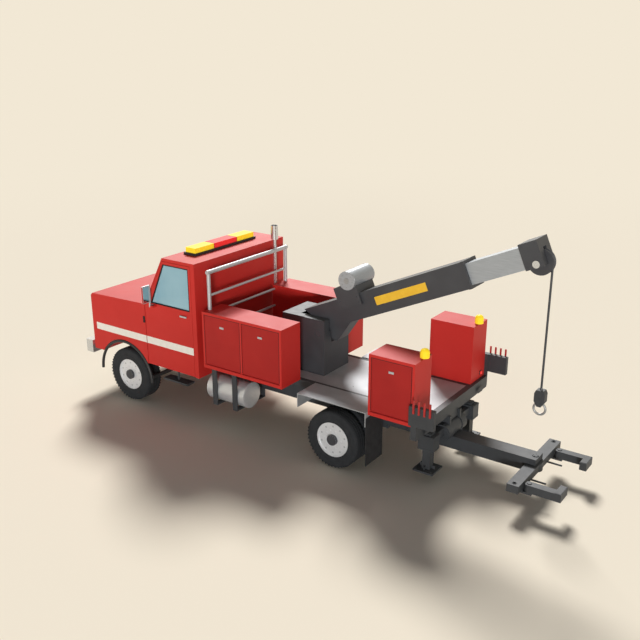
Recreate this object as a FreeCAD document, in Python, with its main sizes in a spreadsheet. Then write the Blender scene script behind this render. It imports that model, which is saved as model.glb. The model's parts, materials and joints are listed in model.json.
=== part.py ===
import FreeCAD, Part
import os
import re
import Sketcher

# Tow truck.  X points forward and is measured from the rear axle, Y points left, Z up from the ground.
# Lengths are millimetres and angles degrees.  "low" and "high" are heights, "back" and "front" places
# along X, "near" and "far" distances from the centre plane.

SIZES = {
    "front_overhang": 1140, "fork_tip": -3450, "body_half": 1200,
    # clearances
    "panel_gap": 6, "seat_gap": 0.3, "pin_fit": 0.05, "slide_fit": 0.5, "move_gap": 6,
    # wheels
    "wheelbase": 4480, "tyre_radius": 470, "tyre_width": 250, "front_radius": 495, "front_width": 320,
    "tyre_drop": 40, "tyre_shoulder": 30, "bead_inset": 18, "bead_rise": 55, "rim_radius": 285,
    "rim_wall": 15, "rim_inset": 15, "dual_gap": 50, "disc_thick": 15, "disc_inset": 35,
    "hub_radius": 85, "hub_proud": 12, "hub_cap": 25, "hub_reach": 170,
    # chassis
    "frame_back": -1330, "frame_setback": 370, "rail_low": 580, "rail_high": 830, "rail_near": 360,
    "rail_far": 440, "rail_web": 8, "cross_low": 640, "cross_high": 770, "cross_long": 90,
    "cross_rear": 130, "cross_axle": 600, "cross_mast": 1400, "cross_cab": 240, "cross_under": 280,
    "cross_front": 60, "bearer_long": 80, "bearer_mast": 700, "bearer_box": 1500, "deck_under": 1040,
    "deck_top": 1080, "side_near": 620, "side_far": 700, "side_low": 960, "side_gap": 140,
    "bumper_deep": 180, "bracket_low": 700, "bracket_high": 800, "hood_pin_out": 30, "hood_pin_z": 930,
    "hood_pin_radius": 12, "hood_ear": 18, "hood_ear_wall": 20, "hood_ear_near": 365, "ear_gap": 5,
    # axles and driveline
    "beam_long": 80, "kingpin_inset": 270, "kingpin_radius": 22, "eye_radius": 42, "eye_half": 50,
    "fork_gap": 6, "fork_arm": 22, "knuckle_wall": 22, "spindle_radius": 35, "spring_half": 550,
    "spring_low": 520, "spring_width": 80, "axle_radius": 60, "axle_far": 600, "rear_spindle": 40,
    "diff_radius": 165, "engine_rear": 490, "engine_fore": 470, "engine_half": 300, "engine_low": 770,
    "engine_high": 1300, "gearbox_long": 790, "gearbox_half": 180, "gearbox_low": 480,
    "gearbox_high": 815, "shaft_radius": 38, "shaft_high": 530, "shaft_back": 175,
    # cab
    "cab_setback": 1740, "roof_long": 730, "cab_long": 1215, "cab_low": 830, "cowl_high": 1960,
    "cab_high": 2850, "cab_wall": 50, "pillar": 28, "door_inset": 96, "door_head": 60,
    "door_low": 842, "door_thick": 45, "door_reach": 35, "seam": 4, "hinge_radius": 9,
    "window_frame": 45, "window_sill": 40, "window_head": 105, "window_front": 152, "window_lean": 7,
    "glass_thick": 6, "glass_inset": 16, "screen_sill": 75, "screen_head": 75, "screen_side": 110,
    "screen_back": 20, "hinge_pad_low": 1000, "hinge_pad_tall": 90, "hinge_pad_long": 30,
    "hinge_pad_step": 650, "hinge_pad_back": 10,
    "mirror_setback": 235, "mirror_thick": 22, "mirror_stand": 100, "mirror_wide": 150,
    "mirror_rise": 90, "mirror_tall": 300, "mirror_bar": 30, "mirror_lap": 65, "mirror_arm": 28,
    "seat_setoff": 70, "seat_long": 540, "seat_top": 1330, "seat_side": 220, "back_thick": 140,
    "back_top": 2020, "dash_deep": 315, "dash_low": 1400, "dash_under": 90, "dash_side": 20,
    "dash_lip": 60, "column_y": 450, "column_radius": 30, "column_long": 240, "column_tilt": 55,
    "wheel_grip": 205, "grip_radius": 16, "spoke_wide": 40, "column_z": 1700,
    # hood and front end
    "hood_seam": 11, "hood_high": 1952, "hood_nose": 1912, "nose_chamfer": 45, "nose_gap": 70,
    "hood_wall": 35, "arch_shift": 75, "arch_z": 470, "arch_radius": 648, "flare_radius": 26,
    "arch_gap": 8, "flare_inset": 8, "well_thick": 6, "well_near": 470, "stay_rise": 80,
    "stay_high": 60, "stay_long": 40, "grille_low": 1130, "grille_high": 1640, "grille_deep": 24,
    "grille_bars": 8, "grille_frame": 28, "grille_bar": 26, "lamp_side": 140, "lamp_wide": 320,
    "lamp_space": 120, "lamp_low": 1250, "lamp_high": 1490, "lamp_proud": 12, "bumper_low": 715,
    "bumper_high": 958, "bumper_chamfer": 10,
    # things on the cab and behind it
    "bar_setback": 325, "bar_long": 275, "bar_side": 400, "bar_high": 42, "lens_high": 84,
    "lens_inset": 26, "red_half": 300, "lens_gap": 5,
    "rack_space": 170, "rack_side": 160, "rack_radius": 36, "rack_top": 2745, "rung_radius": 22,
    "rung_high": 2312, "rung_step": 315,
    "stack_space": 68, "stack_side": 340, "pipe_radius": 28, "pipe_low": 850, "pipe_high": 2910,
    "tip_radius": 66, "tip_high": 3135, "tip_wall": 6, "tip_deep": 150, "clamp_half": 20,
    # toolboxes
    "box_near": 700, "front_box_back": 960, "box_space": 130, "front_box_high": 2070,
    "rear_box_back": -1400, "rear_box_front": -640, "rear_box_high": 2050, "box_wall": 22,
    "box_margin": 50, "lid_thick": 25, "lid_inset": 5, "barrel_radius": 8, "barrel_gap": 0.5,
    "barrel_over": 14, "beacon_x": -1390, "beacon_side": 295, "beacon_foot": 30, "beacon_radius": 68,
    "beacon_low": 16, "beacon_high": 106, "tail_side": 142, "tail_z": 1171, "tail_radius": 32,
    "tail_long": 26,
    # fenders, flaps, tank, steps
    "fender_fore": 190, "fender_rear": 130, "fender_rise": 15, "fender_drop": 860, "fender_thick": 12,
    "flap_low": 200, "flap_top": 1000, "flap_thick": 10, "flap_near": 660, "flap_side": 10,
    "tank_setback": 930, "tank_long": 805, "tank_side": 270, "tank_z": 667, "tank_radius": 222,
    "strap_thick": 20, "strap_wide": 100, "strap_inset": 121, "strap_step": 434,
    "step_setback": 290, "step_long": 570, "step_wide": 180, "step_high": 650, "step_thick": 30,
    "hanger_wide": 40, "hanger_thick": 20,
    # mast and boom
    "mast_back": 726, "mast_front": 1575, "mast_half": 350, "mast_high": 2030, "slot_half": 215,
    "slot_front": 1345, "slot_rear_low": 12, "slot_dip": 110, "slot_dip_x": 90, "mast_wall": 20,
    "slot_lip": 55, "slot_lip_low": 120, "side_plate": 12, "side_plate_front": 1120,
    "pivot_x": 860, "pivot_z": 1800, "pivot_radius": 50, "pin_recess": 3, "boom_angle": 24,
    "boom_half": 200, "boom_rise": 15, "boom_deep": 410, "butt_top": 225, "butt_foot": 123,
    "boom_mouth": 2844, "boom_wall": 12, "butt_wall": 260, "lug_half": 150, "lug_nose": 65,
    "lug_drop": 222, "lug_point": 141, "lug_flat": 50, "lug_end": 567, "lug_slot_low": 180,
    "lug_slot_long": 75, "pad_long": 120, "stage_half": 160, "stage_wall": 10, "stage_back": 1234,
    "head_back": 3706, "head_front": 3985, "head_deep": 378, "head_slot": 57, "head_roof": 130,
    "sheave_s": 3877, "sheave_n": 100, "sheave_radius": 190, "groove_radius": 162,
    "sheave_half": 45, "groove_half": 17, "sheave_pin": 54, "pin_proud": 8,
    "winch_s": 856, "winch_n": 667, "drum_radius": 150, "drum_half": 300, "cheek_near": 215,
    "cheek_thick": 35, "cradle_back": 524, "cradle_front": 955, "cradle_low": 248, "cradle_high": 610,
    "cradle_wall": 25,
    # hoist line and hook
    "line_radius": 16, "line_gap": 0.5, "block_top": 1597, "block_low": 1345, "block_half": 80,
    "block_thick": 55, "block_taper": 25, "ring_radius": 88, "ring_wire": 17, "ring_sink": 43,
    "ring_pin": 8, "wrap_angle": 85,
    # rear frame, outriggers and underlift
    "beam_back": -1460, "beam_front": -1360, "beam_bottom": 880, "tower_half": 190, "tower_foot": 775,
    "tower_front": -1330, "cheek_gap": 12, "lift_x": -1420, "lift_z": 630, "lift_pin": 45,
    "cap_radius": 140, "cap_far": 300, "root_radius": 128, "cheek_half": 80, "girder_low": 620,
    "girder_high": 740, "leg_x": -1400, "leg_y": 680, "leg_half": 65, "leg_top": 800, "foot_high": 215,
    "foot_half": 167, "foot_thick": 30, "sleeve_half_x": 130, "sleeve_half_y": 100, "sleeve_low": 530,
    "sleeve_high": 770, "lift_half": 140, "lift_low": 335, "lift_high": 545, "lift_front": -1150,
    "lift_end": -2675, "lift_wall": 12, "lift_plug": 250, "tongue_end": -2870, "tongue_low": 455,
    "swivel_x": -2810, "swivel_radius": 30, "bar_rear": -2900, "bar_fore": -2720, "bar_reach": 840,
    "bar_low": 330, "bar_top": 450, "bar_hub": 120, "receiver_y": 770, "receiver_radius": 21,
    "arm_pivot_x": -2968, "arm_y": 610, "arm_wide": 125, "arm_low": 300, "arm_high": 420,
    "arm_tip_long": 105, "arm_tip_y": 400, "arm_pin": 20, "lug_under": 30, "lug_fore": -2800,
    "rod_y": 325, "rod_radius": 14, "rod_end": -3112, "rod_low": 322, "rod_start": -2800,
    # valve boxes and levers
    "valve_stand": 15, "valve_wide": 75, "valve_front": -1370, "valve_back": -1770, "valve_low": 1150,
    "valve_high": 1450, "valve_plate_low": 900, "lever_first": -1440, "lever_step": -87,
    "lever_wide": 26, "lever_thick": 20, "lever_low": 1355, "lever_high": 1565, "bolt_x": 300,
    "bolt_y": 450, "bolt_radius": 11, "bolt_span": 400,
}

# Places worked out from the sizes.
PLACES = {
    "bumper_front": "wheelbase + front_overhang",
    "bumper_back": "bumper_front - bumper_deep",
    "frame_front": "bumper_front - frame_setback",
    "middle": "(bumper_front + fork_tip)/2",
    "tyre_y": "body_half - tyre_width/2",
    "front_y": "body_half - front_width/2",
    "kingpin_y": "body_half - kingpin_inset",
    "dual_step": "tyre_width + dual_gap",
    "web_near": "rail_far - rail_web",
    "engine_back": "wheelbase - engine_rear",
    "engine_front": "wheelbase + engine_fore",
    "gearbox_back": "engine_back - gearbox_long",
    "cab_back": "wheelbase - cab_setback",
    "roof_front": "cab_back + roof_long",
    "cab_front": "cab_back + cab_long",
    "pillar_slope": "(cab_front - roof_front)/(cab_high - cowl_high)",
    "door_back": "cab_back + door_inset",
    "door_top": "cab_high - door_head",
    "door_open_front": "cab_front + door_reach",
    "door_far_x": "cab_front - seam",
    "door_near": "body_half - door_thick",
    "cab_near": "body_half - cab_wall",
    "window_back": "door_back + window_frame",
    "window_low": "cowl_high + window_sill",
    "window_high": "cab_high - window_head",
    "window_front_low": "cab_front - window_front",
    "window_front_high": "roof_front - window_lean",
    "screen_low": "cowl_high + screen_sill",
    "screen_high": "cab_high - screen_head",
    "screen_half": "body_half - screen_side",
    "mirror_x": "cab_front - mirror_setback",
    "mirror_arm_back": "mirror_x - mirror_lap",
    "mirror_near": "body_half + mirror_stand",
    "mirror_far": "mirror_near + mirror_wide",
    "mirror_low": "cowl_high + mirror_rise",
    "mirror_high": "mirror_low + mirror_tall",
    "seat_back": "cab_back + seat_setoff",
    "seat_front": "seat_back + seat_long",
    "seat_half": "body_half - seat_side",
    "dash_back": "cab_front - dash_deep",
    "dash_high": "cowl_high - dash_under",
    "dash_half": "cab_near - dash_side",
    "hood_back": "cab_front + hood_seam",
    "hood_front": "bumper_back - nose_gap",
    "hood_near": "body_half - hood_wall",
    "hood_pin_x": "hood_front + hood_pin_out",
    "arch_x": "wheelbase + arch_shift",
    "flare_y": "body_half - flare_inset",
    "lamp_far": "body_half - lamp_side",
    "lamp_near": "lamp_far - lamp_wide",
    "grille_half": "lamp_near - lamp_space",
    "bar_back": "cab_back + bar_setback",
    "bar_front": "bar_back + bar_long",
    "bar_half": "body_half - bar_side",
    "rack_x": "cab_back - rack_space",
    "rack_y": "body_half - rack_side",
    "stack_x": "cab_back - stack_space",
    "stack_y": "stack_side - body_half",
    "side_front": "cab_back - side_gap",
    "front_box_front": "cab_back - box_space",
    "beacon_y": "body_half - beacon_side",
    "tail_y": "body_half - tail_side",
    "fender_front": "tyre_radius + fender_fore",
    "fender_back": "-tyre_radius - fender_rear",
    "fender_high": "deck_top + fender_rise",
    "flap_far": "body_half - flap_side",
    "tank_back": "cab_back - tank_setback",
    "tank_front": "tank_back + tank_long",
    "tank_y": "body_half - tank_side",
    "strap_back": "tank_back + strap_inset",
    "step_back": "cab_back + step_setback",
    "step_front": "step_back + step_long",
    "step_near": "body_half - step_wide",
    "boom_top": "boom_rise + boom_deep",
    "boom_mid": "boom_rise + boom_deep/2",
    "stage_low": "boom_mid - stage_half",
    "stage_top": "boom_mid + stage_half",
    "head_low": "boom_top - head_deep",
    "arm_near": "arm_y - arm_wide/2",
    "arm_far": "arm_y + arm_wide/2",
    "line_x": "pivot_x - sheave_s*cos(boom_angle) + sheave_n*sin(boom_angle)",
    "line_z": "pivot_z + sheave_s*sin(boom_angle) + sheave_n*cos(boom_angle)",
    "box_base": "deck_top",
    "valve_near": "body_half + valve_stand",
    "valve_far": "valve_near + valve_wide",
}
FUNCTIONS = ("sin", "cos", "tan", "sqrt", "min", "max")

doc = FreeCAD.newDocument("TowTruck")
sheet = doc.addObject("Spreadsheet::Sheet", "Sizes")
for row, (alias, value) in enumerate(SIZES.items(), 1):
    sheet.set("A%d" % row, alias)
    sheet.set("B%d" % row, str(value))
    sheet.setAlias("B%d" % row, alias)
doc.recompute()

nodes = []


def formula(text):
    """Turn plain names into references to the sheet."""
    def refer(match):
        word = match.group()
        if word in PLACES:
            return "(%s)" % formula(PLACES[word])
        if word in FUNCTIONS:
            return word
        if word not in SIZES:
            raise NameError(word)
        return "Sizes." + word
    return re.sub(r"[A-Za-z_]\w*", refer, str(text))


def number(text):
    return float(sheet.evalExpression(formula(text)))


def bind(item, field, text):
    item.setExpression(field, formula(text))


def minus(text):
    return "-(%s)" % text


def keep(item):
    nodes.append(item)
    return item


def start(label, x="0", y="0", z="0", turn="0"):
    """A body whose own origin stands at x, y, z, turned about its Y axis."""
    body = doc.addObject("PartDesign::Body", label)
    body.Label = label
    body.Placement = FreeCAD.Placement(FreeCAD.Vector(),
                                       FreeCAD.Rotation(FreeCAD.Vector(0, 1, 0), number(turn)))
    bind(body, "Placement.Base.x", "(%s) - middle" % x)
    bind(body, "Placement.Base.y", y)
    bind(body, "Placement.Base.z", z)
    if turn != "0":
        bind(body, "Placement.Rotation.Angle", turn)
    return body


def sketch_on(body, plane, offset):
    """A sketch on an origin plane of the body, moved along the plane's axis to the offset."""
    sketch = body.newObject("Sketcher::SketchObject", body.Label + "_sketch")
    support = [face for face in body.Origin.OriginFeatures if face.Role == plane + "_Plane"][0]
    sketch.AttachmentSupport = [(support, "")]
    sketch.MapMode = "FlatFace"
    bind(sketch, "AttachmentOffset.Base.z", minus(offset) if plane == "XZ" else offset)
    return sketch


def fix(sketch, item, corner, texts):
    """Tie one point of a sketch to two sheet formulas."""
    for kind, text in zip(("DistanceX", "DistanceY"), texts):
        index = sketch.addConstraint(Sketcher.Constraint(kind, -1, 1, item, corner, number(text)))
        name = "%s_%d_%d" % (kind[-1], item, corner)
        sketch.renameConstraint(index, name)
        sketch.setExpression("Constraints." + name, formula(text))


def draw_polygon(sketch, points):
    corners = [FreeCAD.Vector(number(across), number(up), 0) for across, up in points]
    count = len(corners)
    for index in range(count):
        sketch.addGeometry(Part.LineSegment(corners[index], corners[(index + 1) % count]), False)
    for index in range(count):
        sketch.addConstraint(Sketcher.Constraint("Coincident", index, 2, (index + 1) % count, 1))
        fix(sketch, index, 1, points[index])


def draw_circle(sketch, centre, radius):
    middle = FreeCAD.Vector(number(centre[0]), number(centre[1]), 0)
    sketch.addGeometry(Part.Circle(middle, FreeCAD.Vector(0, 0, 1), number(radius)), False)
    fix(sketch, 0, 3, centre)
    index = sketch.addConstraint(Sketcher.Constraint("Radius", 0, number(radius)))
    sketch.renameConstraint(index, "radius")
    sketch.setExpression("Constraints.radius", formula(radius))


def extrude(body, sketch, plane, length, cut):
    """Pad or pocket a sketch towards the positive side of its plane."""
    feature = body.newObject("PartDesign::" + ("Pocket" if cut else "Pad"), body.Label + "_step")
    feature.Profile = sketch
    feature.Reversed = (plane == "XZ") != cut
    bind(feature, "Length", length)
    return feature


def slab(body, plane, points, low, high, cut=False):
    sketch = sketch_on(body, plane, low)
    draw_polygon(sketch, points)
    return extrude(body, sketch, plane, "(%s) - (%s)" % (high, low), cut)


def block(body, x, y, z, cut=False):
    """A box given by its two ends along each axis."""
    corners = [(x[0], y[0]), (x[1], y[0]), (x[1], y[1]), (x[0], y[1])]
    return slab(body, "XY", corners, z[0], z[1], cut)


def rod(body, plane, centre, radius, low, high, cut=False):
    sketch = sketch_on(body, plane, low)
    draw_circle(sketch, centre, radius)
    return extrude(body, sketch, plane, "(%s) - (%s)" % (high, low), cut)


def turned(body, plane, axis, points=None, centre=None, radius=None, angle="360", cut=False, back=False):
    """Revolve a profile about the horizontal (H) or vertical (V) axis of its plane."""
    sketch = sketch_on(body, plane, "0")
    if points:
        draw_polygon(sketch, points)
    else:
        draw_circle(sketch, centre, radius)
    feature = body.newObject("PartDesign::" + ("Groove" if cut else "Revolution"), body.Label + "_turn")
    feature.Profile = sketch
    feature.ReferenceAxis = (sketch, [axis + "_Axis"])
    feature.Reversed = back
    bind(feature, "Angle", angle)
    return feature


def both(body, plane, points, near, far, cut=False):
    """The same slab on the left and the right of the centre plane."""
    slab(body, plane, points, near, far, cut)
    slab(body, plane, points, minus(far), minus(near), cut)


def mirror(label, source):
    """The same piece on the other side of the centre plane."""
    twin = doc.addObject("Part::Mirroring", label)
    twin.Label = label
    twin.Source = source
    twin.Base = FreeCAD.Vector()
    twin.Normal = FreeCAD.Vector(0, 1, 0)
    return twin


def gather(label, pieces):
    """Like pieces that don't touch, kept as one sub-part."""
    group = doc.addObject("Part::Compound", label)
    group.Label = label
    group.Links = pieces
    return keep(group)


def pair(label, piece):
    return gather(label, [piece, mirror(label + "_right", piece)])


def left_and_right(left, right_label):
    keep(left)
    return keep(mirror(right_label, left))


def box_xz(back, front, low, high):
    return [(back, low), (front, low), (front, high), (back, high)]


def on_pillar(height, back):
    """X on the sloping front edge of the cab at a height, moved back."""
    return "roof_front + (cab_high - (%s))*pillar_slope - (%s)" % (height, back)


# ---------------------------------------------------------------- chassis and running gear

def make_chassis():
    body = start("chassis_frame")
    both(body, "XZ", box_xz("frame_back", "frame_front", "rail_low", "rail_high"), "rail_near", "rail_far")
    inner = box_xz("frame_back - rail_web", "frame_front + rail_web", "rail_low + rail_web",
                   "rail_high - rail_web")
    both(body, "XZ", inner, "rail_near - rail_web", "web_near", cut=True)
    places = ("frame_back + cross_rear", "-cross_axle", "cross_axle", "cross_mast", "cab_back - cross_cab",
              "cab_back + cross_under", "wheelbase - cross_front", "frame_front - cross_long")
    for place in places:
        block(body, (place, "(%s) + cross_long" % place), ("-web_near", "web_near"),
              ("cross_low", "cross_high"))
    for place in ("frame_back", "bearer_mast", "bearer_box", "side_front - bearer_long"):
        block(body, (place, "(%s) + bearer_long" % place), ("-side_far", "side_far"),
              ("rail_high", "deck_under"))
    both(body, "XZ", box_xz("beam_front", "side_front", "side_low", "deck_top"), "side_near", "side_far")
    both(body, "XZ", box_xz("frame_front - cross_long", "bumper_back", "bracket_low", "bracket_high"),
         "rail_near", "rail_far")
    ear = box_xz("hood_pin_x - hood_ear", "hood_pin_x + hood_ear", "bracket_high - move_gap",
                 "hood_pin_z + hood_ear")
    both(body, "XZ", ear, "hood_ear_near", "hood_ear_near + hood_ear_wall")
    rod(body, "XZ", ("hood_pin_x", "hood_pin_z"), "hood_pin_radius + pin_fit", "-rail_far", "rail_far",
        cut=True)
    return keep(body)


def make_driveline():
    body = start("engine_and_driveline")
    block(body, ("engine_back", "engine_front"), ("-engine_half", "engine_half"),
          ("engine_low", "engine_high"))
    block(body, ("gearbox_back", "engine_back"), ("-gearbox_half", "gearbox_half"),
          ("gearbox_low", "gearbox_high"))
    rod(body, "YZ", ("0", "shaft_high"), "shaft_radius", "shaft_back", "gearbox_back")
    return keep(body)


def make_front_axle():
    body = start("front_axle", x="wheelbase")
    half = "beam_long/2"
    eye = ("front_radius - eye_half", "front_radius + eye_half")
    block(body, (minus(half), half), ("-kingpin_y", "kingpin_y"), eye)
    both(body, "XZ", box_xz("-spring_half", "spring_half", eye[1], "rail_low"),
         "rail_near", "rail_near + spring_width")
    for side in ("", "-"):
        centre = ("0", side + "kingpin_y")
        rod(body, "XY", centre, "eye_radius", *eye)
        rod(body, "XY", centre, "kingpin_radius + pin_fit", eye[0] + " - seam", eye[1] + " + seam", cut=True)
    return body


def make_rear_axle():
    body = start("rear_axle", z="tyre_radius")
    rod(body, "XZ", ("0", "0"), "axle_radius", "-axle_far", "axle_far")
    rod(body, "XZ", ("0", "0"), "rear_spindle", minus("body_half - hub_cap"), "body_half - hub_cap")
    arc = [("0", "-diff_radius"), ("diff_radius*0.7", "-diff_radius*0.7"), ("diff_radius", "0"),
           ("diff_radius*0.7", "diff_radius*0.7"), ("0", "diff_radius")]
    turned(body, "YZ", "V", points=arc)
    both(body, "XZ", box_xz("-spring_half", "spring_half", "spring_low - tyre_radius",
                            "rail_low - tyre_radius"),
         "rail_near", "rail_near + spring_width")
    return body


def make_knuckle():
    body = start("knuckle_left", x="wheelbase", y="kingpin_y", z="front_radius")
    outer = "eye_half + fork_gap + fork_arm"
    plate = "eye_radius + fork_gap"
    rod(body, "XY", ("0", "0"), "kingpin_radius", minus(outer), outer)
    for low, high in (("eye_half + fork_gap", outer), (minus(outer), minus("eye_half + fork_gap"))):
        rod(body, "XY", ("0", "0"), "eye_radius", low, high)
        block(body, ("-kingpin_radius", "kingpin_radius"), ("0", plate + " + knuckle_wall"), (low, high))
    block(body, ("-eye_radius", "eye_radius"), (plate, plate + " + knuckle_wall"), (minus(outer), outer))
    rod(body, "XZ", ("0", "0"), "spindle_radius", plate, "body_half - hub_cap - kingpin_y")
    return left_and_right(body, "knuckle_right")


def tyre_profile(half, radius, shift):
    right = [(half + " - bead_inset", "rim_radius + seat_gap"), (half, "rim_radius + bead_rise"),
             (half, radius + " - tyre_drop"), (half + " - tyre_shoulder", radius)]
    left = [(minus(across), up) for across, up in reversed(right)]
    return [("(%s) - (%s)" % (across, shift), up) for across, up in right + left]


def rim_steps(body, half, shift):
    """Barrel and disc of one rim, the disc close to its outer edge."""
    inside = "rim_inset - %s - (%s)" % (half, shift)
    outside = "%s - rim_inset - (%s)" % (half, shift)
    disc = "%s - disc_inset - (%s)" % (half, shift)
    rod(body, "XZ", ("0", "0"), "rim_radius", inside, outside)
    rod(body, "XZ", ("0", "0"), "rim_radius - rim_wall", inside + " - rim_wall", disc + " - disc_thick",
        cut=True)
    rod(body, "XZ", ("0", "0"), "rim_radius - rim_wall", disc, outside + " + rim_wall", cut=True)


def make_front_wheels():
    place = {"x": "wheelbase", "y": "front_y", "z": "front_radius"}
    tyre = start("tyre_front_left", **place)
    turned(tyre, "YZ", "H", points=tyre_profile("front_width/2", "front_radius", "0"))
    left_and_right(tyre, "tyre_front_right")
    wheel = start("wheel_front_left", **place)
    rim_steps(wheel, "front_width/2", "0")
    make_hub(wheel, "front_width/2", "0", "spindle_radius")
    left_and_right(wheel, "wheel_front_right")


def make_rear_wheels():
    place = {"y": "tyre_y", "z": "tyre_radius"}
    tyres = []
    wheel = start("wheel_rear_left", **place)
    for index, shift in enumerate(("0", "dual_step")):
        tyre = start("tyres_rear_left_%d" % (index + 1), **place)
        turned(tyre, "YZ", "H", points=tyre_profile("tyre_width/2", "tyre_radius", shift))
        tyres.append(tyre)
        rim_steps(wheel, "tyre_width/2", shift)
    make_hub(wheel, "tyre_width/2", "dual_step", "rear_spindle")
    keep(mirror("tyres_rear_right", gather("tyres_rear_left", tyres)))
    left_and_right(wheel, "wheel_rear_right")


def make_hub(wheel, half, shift, spindle):
    face = half + " + hub_proud"
    root = "%s - hub_reach - (%s)" % (face, shift)
    rod(wheel, "XZ", ("0", "0"), "hub_radius", root, face)
    rod(wheel, "XZ", ("0", "0"), spindle + " + pin_fit", root, face + " - hub_cap", cut=True)


# ---------------------------------------------------------------- cab

def make_cab():
    body = start("cab_shell")
    outer = [("cab_back", "cab_low"), ("cab_front", "cab_low"), ("cab_front", "cowl_high"),
             ("roof_front", "cab_high"), ("cab_back", "cab_high")]
    slab(body, "XZ", outer, "-body_half", "body_half")
    slant = "cab_wall*sqrt(1 + pillar_slope*pillar_slope)"
    inner = [("cab_back + cab_wall", "cab_low + cab_wall"), ("cab_front - cab_wall", "cab_low + cab_wall"),
             ("cab_front - cab_wall",
              "cab_high - (cab_front - cab_wall - roof_front + %s)/pillar_slope" % slant),
             (on_pillar("cab_high - cab_wall", slant), "cab_high - cab_wall"),
             ("cab_back + cab_wall", "cab_high - cab_wall")]
    slab(body, "XZ", inner, "-cab_near", "cab_near", cut=True)
    top = "door_top + panel_gap"
    opening = [("door_back - panel_gap", "cab_low - panel_gap"), ("door_open_front", "cab_low - panel_gap"),
               ("door_open_front", "cab_high - (door_open_front + pillar - roof_front)/pillar_slope"),
               (on_pillar(top, "pillar"), top), ("door_back - panel_gap", top)]
    both(body, "XZ", opening, "cab_near", "body_half + panel_gap", cut=True)
    block(body, ("roof_front - cab_wall*2", "cab_front + cab_wall"), ("-screen_half", "screen_half"),
          ("screen_low", "screen_high"), cut=True)
    for index in (0, 1):
        low = "hinge_pad_low + hinge_pad_step*%d" % index
        far = "cab_front - hinge_pad_back"
        both(body, "XZ", box_xz(far + " - hinge_pad_long", far, low, low + " + hinge_pad_tall"),
             "cab_near - seam", "door_near - slide_fit")
    return keep(body)


def make_windscreen():
    body = start("windscreen")
    low, high = "screen_low + seat_gap", "screen_high - seat_gap"
    pane = [(on_pillar(low, "screen_back + glass_thick"), low), (on_pillar(low, "screen_back"), low),
            (on_pillar(high, "screen_back"), high), (on_pillar(high, "screen_back + glass_thick"), high)]
    slab(body, "XZ", pane, "-screen_half + seat_gap", "screen_half - seat_gap")
    return keep(body)


def window_outline(inset):
    return [("window_back + %s" % inset, "window_low + %s" % inset),
            ("window_front_low - 2*%s" % inset, "window_low + %s" % inset),
            ("window_front_high - 2*%s" % inset, "window_high - %s" % inset),
            ("window_back + %s" % inset, "window_high - %s" % inset)]


def make_doors():
    door = start("cab_door_left")
    back = "pillar + panel_gap"
    outline = [("door_back", "door_low"), ("door_far_x", "door_low"),
               ("door_far_x", "cab_high - (door_far_x + %s - roof_front)/pillar_slope" % back),
               (on_pillar("door_top", back), "door_top"), ("door_back", "door_top")]
    slab(door, "XZ", outline, "door_near", "body_half")
    slab(door, "XZ", window_outline("0"), "door_near - panel_gap", "body_half + panel_gap", cut=True)
    for index in (0, 1):
        low = "hinge_pad_low + hinge_pad_step*%d" % index
        rod(door, "XY", ("door_far_x", "body_half"), "hinge_radius", low, low + " + hinge_pad_tall")
    block(door, ("mirror_arm_back", "mirror_x + mirror_thick"), ("body_half - seam", "mirror_near"),
          ("cowl_high", "cowl_high + mirror_arm"))
    block(door, ("mirror_x", "mirror_x + mirror_thick"), ("mirror_near - mirror_bar", "mirror_near"),
          ("cowl_high", "mirror_high"))
    block(door, ("mirror_x", "mirror_x + mirror_thick"), ("mirror_near", "mirror_far"),
          ("mirror_low", "mirror_high"))
    left_and_right(door, "cab_door_right")
    glass = start("door_glass_left")
    slab(glass, "XZ", window_outline("seat_gap"), "body_half - glass_inset - glass_thick",
         "body_half - glass_inset")
    left_and_right(glass, "door_glass_right")


def make_cab_inside():
    seat = start("bench_seat")
    floor = "cab_low + cab_wall"
    profile = [("seat_back", floor), ("seat_front", floor), ("seat_front", "seat_top"),
               ("seat_back + back_thick", "seat_top"), ("seat_back + back_thick", "back_top"),
               ("seat_back", "back_top")]
    slab(seat, "XZ", profile, "-seat_half", "seat_half")
    dash = start("dashboard")
    front = "cab_front - cab_wall"
    profile = [("dash_back + dash_lip", "dash_low"), (front, "dash_low"), (front, "dash_high"),
               ("dash_back + dash_lip", "dash_high"), ("dash_back", "dash_high - dash_lip"),
               ("dash_back", "dash_low + dash_lip")]
    slab(dash, "XZ", profile, "-dash_half", "dash_half")
    wheel = start("steering_wheel", x="dash_back + column_long*0.2", y="column_y", z="column_z",
                  turn="-column_tilt")
    rod(wheel, "XY", ("0", "0"), "column_radius", "0", "column_long")
    turned(wheel, "XZ", "V", centre=("wheel_grip", "column_long"), radius="grip_radius")
    for across, along in (("wheel_grip", "spoke_wide/2"), ("spoke_wide/2", "wheel_grip")):
        block(wheel, (minus(across), across), (minus(along), along),
              ("column_long - grip_radius/2", "column_long + grip_radius/2"))
    gather("cab_interior", [seat, dash, wheel])


# ---------------------------------------------------------------- hood, front fenders, bumper

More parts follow.
